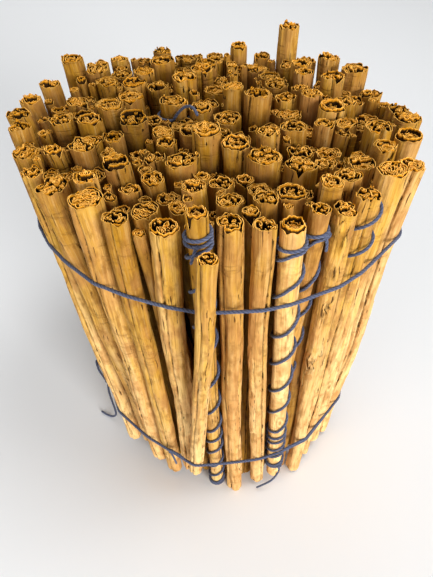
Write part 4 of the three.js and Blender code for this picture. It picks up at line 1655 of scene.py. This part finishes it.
@dataclass
class Sheaf:
    """The whole bundle: quills of six kinds, a dark heart of painted shade, the wound quills and the twine.
    """

    plan: SheafPlan = field(default_factory=SheafPlan)
    band_twine: float = 2.3  # thickness of the bands' twine
    pieces: list[bpy.types.Object] = field(default_factory=list)

    def __post_init__(self) -> None:
        """Lays the sheaf out and works out its place in the model's frame."""
        self.quills = self.plan.lay_out()
        self.leaning = self.plan.leaning()
        self.slim = self.plan.slim(self.quills)
        self.vary()
        self.makers = [QuillMaker(q, k, RIM_FINENESS if q.rim else INNER_FINENESS)
                       for k, q in enumerate(self.quills)]
        self.leaning_maker = QuillMaker(self.leaning, 900, RIM_FINENESS)
        self.slim_makers = [QuillMaker(q, 400 + k, SLIM_FINENESS) for k, q in enumerate(self.slim)]
        self.bark = BarkFinish().material()
        self.cloth = TwineFinish().material()
        self.twiner = TwineMaker()
        self.shift = self.find_shift()
        knot_quill = outermost([*self.quills, self.leaning], LOWER_BAND, KNOT_AZIMUTH)
        self.knot_at = beside(knot_quill, LOWER_BAND, KNOT_AZIMUTH, 2 * KNOT_RADIUS)

    def vary(self) -> None:
        """Gives some of the inner quills another tone and hue: a random tone kept low as painted shade, with
        painted light that lightens it towards +X.
        """
        draw = np.random.default_rng(31)
        for quill in self.quills:
            if quill.weight == 1.0:
                quill.hue = 0.8 if draw.uniform() < 0.1 else 0.3 * draw.uniform()
                # painted light: the tone rises towards +X, so the inner quills are lighter on the right
                quill.tone = draw.uniform(0.16, 0.44) + 0.0018 * quill.at[0]

    def find_shift(self) -> Array:
        """The way from the plan's origin to the model's, from the upper band's box."""
        axes = np.array([q.axis(UPPER_BAND) for q in self.quills])
        radii = np.array([float(q.radius_at(UPPER_BAND)) for q in self.quills])[:, None]
        planned = ((axes - radii).min(axis=0) + (axes + radii).max(axis=0)) / 2
        low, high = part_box("upper_band")
        built = np.array([(low[k] + high[k]) / 2 / MM for k in range(2)])
        return np.array([*(built - planned), 0.0])

    def finish(self, patch: Patch, name: str, slot: str, *nodes: str) -> bpy.types.Object:
        """Builds a piece that rides on the body.

        Args:
            patch: Its grids.
            name: Its name.
            slot: Its slot in the record, which gives its finish.
            nodes: The nodes that it takes the place of.

        Returns:
            The piece.
        """
        piece = patch.build(name, self.bark if slot == "bark" else self.cloth, self.shift)
        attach(piece, "root")
        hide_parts(*nodes)
        self.pieces.append(piece)
        return piece

    def free_end(self, name: str, steps: Sequence[Sequence[float]]) -> None:
        """Args:
            name: Name of the piece, and of its node.
            steps: Its points from the knot.
        """
        line = smoothed(self.knot_at + np.array(steps))
        patch = Patch()
        self.twiner.lay(patch, line)
        piece = self.finish(patch, name + "_twine", "twine", name)
        path = (line + self.shift) * MM

    def free_ends(self) -> None:
        """Makes the loop and the tail that hang from the lower band's knot."""
        self.free_end("band_bow", BOW)
        self.free_end("band_tail", TAIL)

    def heart(self) -> None:
        """Makes the dark middle, a body of painted shade."""
        patch = Patch()
        Heart().build(patch)
        self.finish(patch, "heart", "bark", "cinnamon_sticks")

    def rolled(self, makers: Sequence[QuillMaker], name: str, node: str) -> None:
        """Makes some quills into one piece, which takes the place of a node."""
        patch = Patch()
        for maker in makers:
            maker.make(patch)
        self.finish(patch, name, "bark", node)

    def bark_rolls(self) -> None:
        """Makes all the quills, one piece for each kind of roll and one for each named quill."""
        plain = [maker for maker in self.makers if not maker.quill.name]
        for roll in Roll:
            alike = [maker for maker in plain if maker.quill.roll is roll]
            if alike:
                self.rolled(alike, "quills_" + roll.value, "cinnamon_sticks")
        self.rolled(self.slim_makers, "quills_slim", "cinnamon_sticks")
        for maker in self.makers:
            if maker.quill.name:
                self.rolled([maker], "wound_quill_" + maker.quill.name, "wrapped_stick_" + maker.quill.name)
        self.rolled([self.leaning_maker], "leaning_quill", "leaning_stick")

    def small_knot(self, patch: Patch, knot: SmallKnot, at: Array) -> None:
        """Adds a small knot and the end that hangs from it."""
        self.twiner.knot(patch, at, knot.size, math.radians(knot.azimuth - 270))
        end = smoothed(at + np.array(((0, 0, 0), *knot.end)))
        self.twiner.lay(patch, end, thickness=1.7)

    def windings(self) -> None:
        """Makes the twines that are wound on quills, with their knots."""
        for quill in self.quills:
            if quill.name:
                patch = Patch()
                self.twiner.lay(patch, wound(quill, CROSSINGS[quill.name], WRAP_HIDDEN))
                knot = QUILL_KNOTS.get(quill.name)
                if knot:
                    self.small_knot(patch, knot, beside(quill, knot.height, knot.azimuth, 1.6))
                self.finish(patch, "winding_" + quill.name, "twine", "twine_wrap_" + quill.name)

    def inner_ties(self) -> None:
        """Makes the two twines whose ends stick up among the quills."""
        for number, tie in enumerate(INNER_TIES, 1):
            place = polar(tie.azimuth, tie.distance)
            quill = min(self.quills, key=lambda q: math.dist(q.at, place))
            height = quill.top - tie.depth
            turn = wound(quill, (height - 2.5, height))
            end = smoothed(turn[-1] + np.array(((0, 0, 0), *tie.end)))
            patch = Patch()
            self.twiner.lay(patch, np.concatenate([turn, end[1:]]))
            self.finish(patch, f"inner_tie_{number}", "twine", f"inner_twine_{number}")

    def bands(self) -> None:
        """Makes the two bands, with the knots and the doubled part of the lower one."""
        upper, lower = Patch(), Patch()
        self.twiner.lay(upper, Band(self.makers, UPPER_BAND).line(), self.band_twine, closed=True)
        self.finish(upper, "upper_band_twine", "twine", "upper_band")
        band = Band([*self.makers, self.leaning_maker], LOWER_BAND)
        self.twiner.lay(lower, band.line(), self.band_twine, closed=True)
        self.twiner.lay(lower, band.span(296, 327, 2.3))
        self.twiner.lay(lower, band.span(241, 251, 2.0))
        self.twiner.knot(lower, self.knot_at, 3.4, 0.5)
        at = band.span(BAND_KNOT.azimuth - 1, BAND_KNOT.azimuth + 1, 0.0).mean(axis=0)
        self.small_knot(lower, BAND_KNOT, at)
        self.finish(lower, "lower_band_twine", "twine", "lower_band")


@dataclass
class Studio:
    """The floor, the lights and the camera."""

    eye: tuple[float, float, float] = (0.4, -353.0, 473.0)  # of the camera, in the plan's frame
    tilt: float = 42.19  # of its axis below the level, in degrees
    focal: float = 580.0  # its focal length, in pixels
    sensor: float = 36.0
    floor_half: float = 4000.0
    room: float = 0.26  # strength of the light from all round

    def camera(self, shift: Array) -> None:
        """Makes the camera.

        Args:
            shift: From the plan's frame to the model's, in millimetres.
        """
        data = bpy.data.cameras.new("camera")
        data.sensor_width = self.sensor
        data.lens = self.focal * self.sensor / max(PICTURE)
        camera = linked("camera", data)
        camera.location = (Vector(self.eye) + Vector(shift)) * MM
        camera.rotation_euler = (math.radians(90 - self.tilt), 0, 0)
        bpy.context.scene.camera = camera

    def floor(self) -> bpy.types.Object:
        """Makes the floor."""
        half = self.floor_half
        corners = np.array([[[-half, -half, 0], [half, -half, 0]], [[-half, half, 0], [half, half, 0]]])
        patch = Patch()
        patch.grid(corners, np.zeros(3), np.zeros(3))
        piece = patch.build("floor", FloorFinish().material(), np.zeros(3))
        return piece

    def lamp(self, name: str, at: Sequence[float], to: Sequence[float], size: float, power: float) -> None:
        """Makes one square white lamp.

        Args:
            name: Its name.
            at: Its place, in metres.
            to: What it faces, in metres.
            size: Its side, in metres.
            power: In watts.
        """
        data = bpy.data.lights.new(name, "AREA")
        data.size, data.energy = size, power
        lamp = linked(name, data)
        lamp.location = at
        lamp.rotation_euler = (Vector(to) - Vector(at)).to_track_quat("-Z", "Y").to_euler()

    def lights(self) -> None:
        """Makes the lamps and the soft light from all round."""
        self.lamp("key", (1.7, -2.9, 1.0), (0, 0, 0.12), 1.3, 128)
        self.lamp("fill", (-2.2, -2.4, 0.9), (0, 0, 0.1), 1.8, 34)
        self.lamp("top", (0.7, -0.2, 2.0), (0, 0, 0.2), 0.8, 16)
        self.lamp("back", (-0.4, 1.6, 1.4), (-0.3, 1.4, 0), 1.8, 12)
        world = bpy.data.worlds.new("room")
        world.use_nodes = True
        world.node_tree.nodes["Background"].inputs["Color"].default_value = (1.0, 1.0, 1.0, 1)
        world.node_tree.nodes["Background"].inputs["Strength"].default_value = self.room
        bpy.context.scene.world = world
        bpy.context.scene.view_settings.view_transform = "Standard"


def main() -> None:
    """Builds the sheaf and the studio, and reports each piece."""
    logging.basicConfig(level=logging.INFO, format="%(name)s: %(message)s")
    sheaf = Sheaf()
    studio = Studio()
    studio.camera(sheaf.shift)
    sheaf.free_ends()
    sheaf.heart()
    sheaf.bark_rolls()
    sheaf.windings()
    sheaf.inner_ties()
    sheaf.bands()
    for piece in (*sheaf.pieces, studio.floor()):
        log.info("%s: %d quads", piece.name, len(piece.data.polygons))
    studio.lights()


if __name__ == "__main__":
    main()
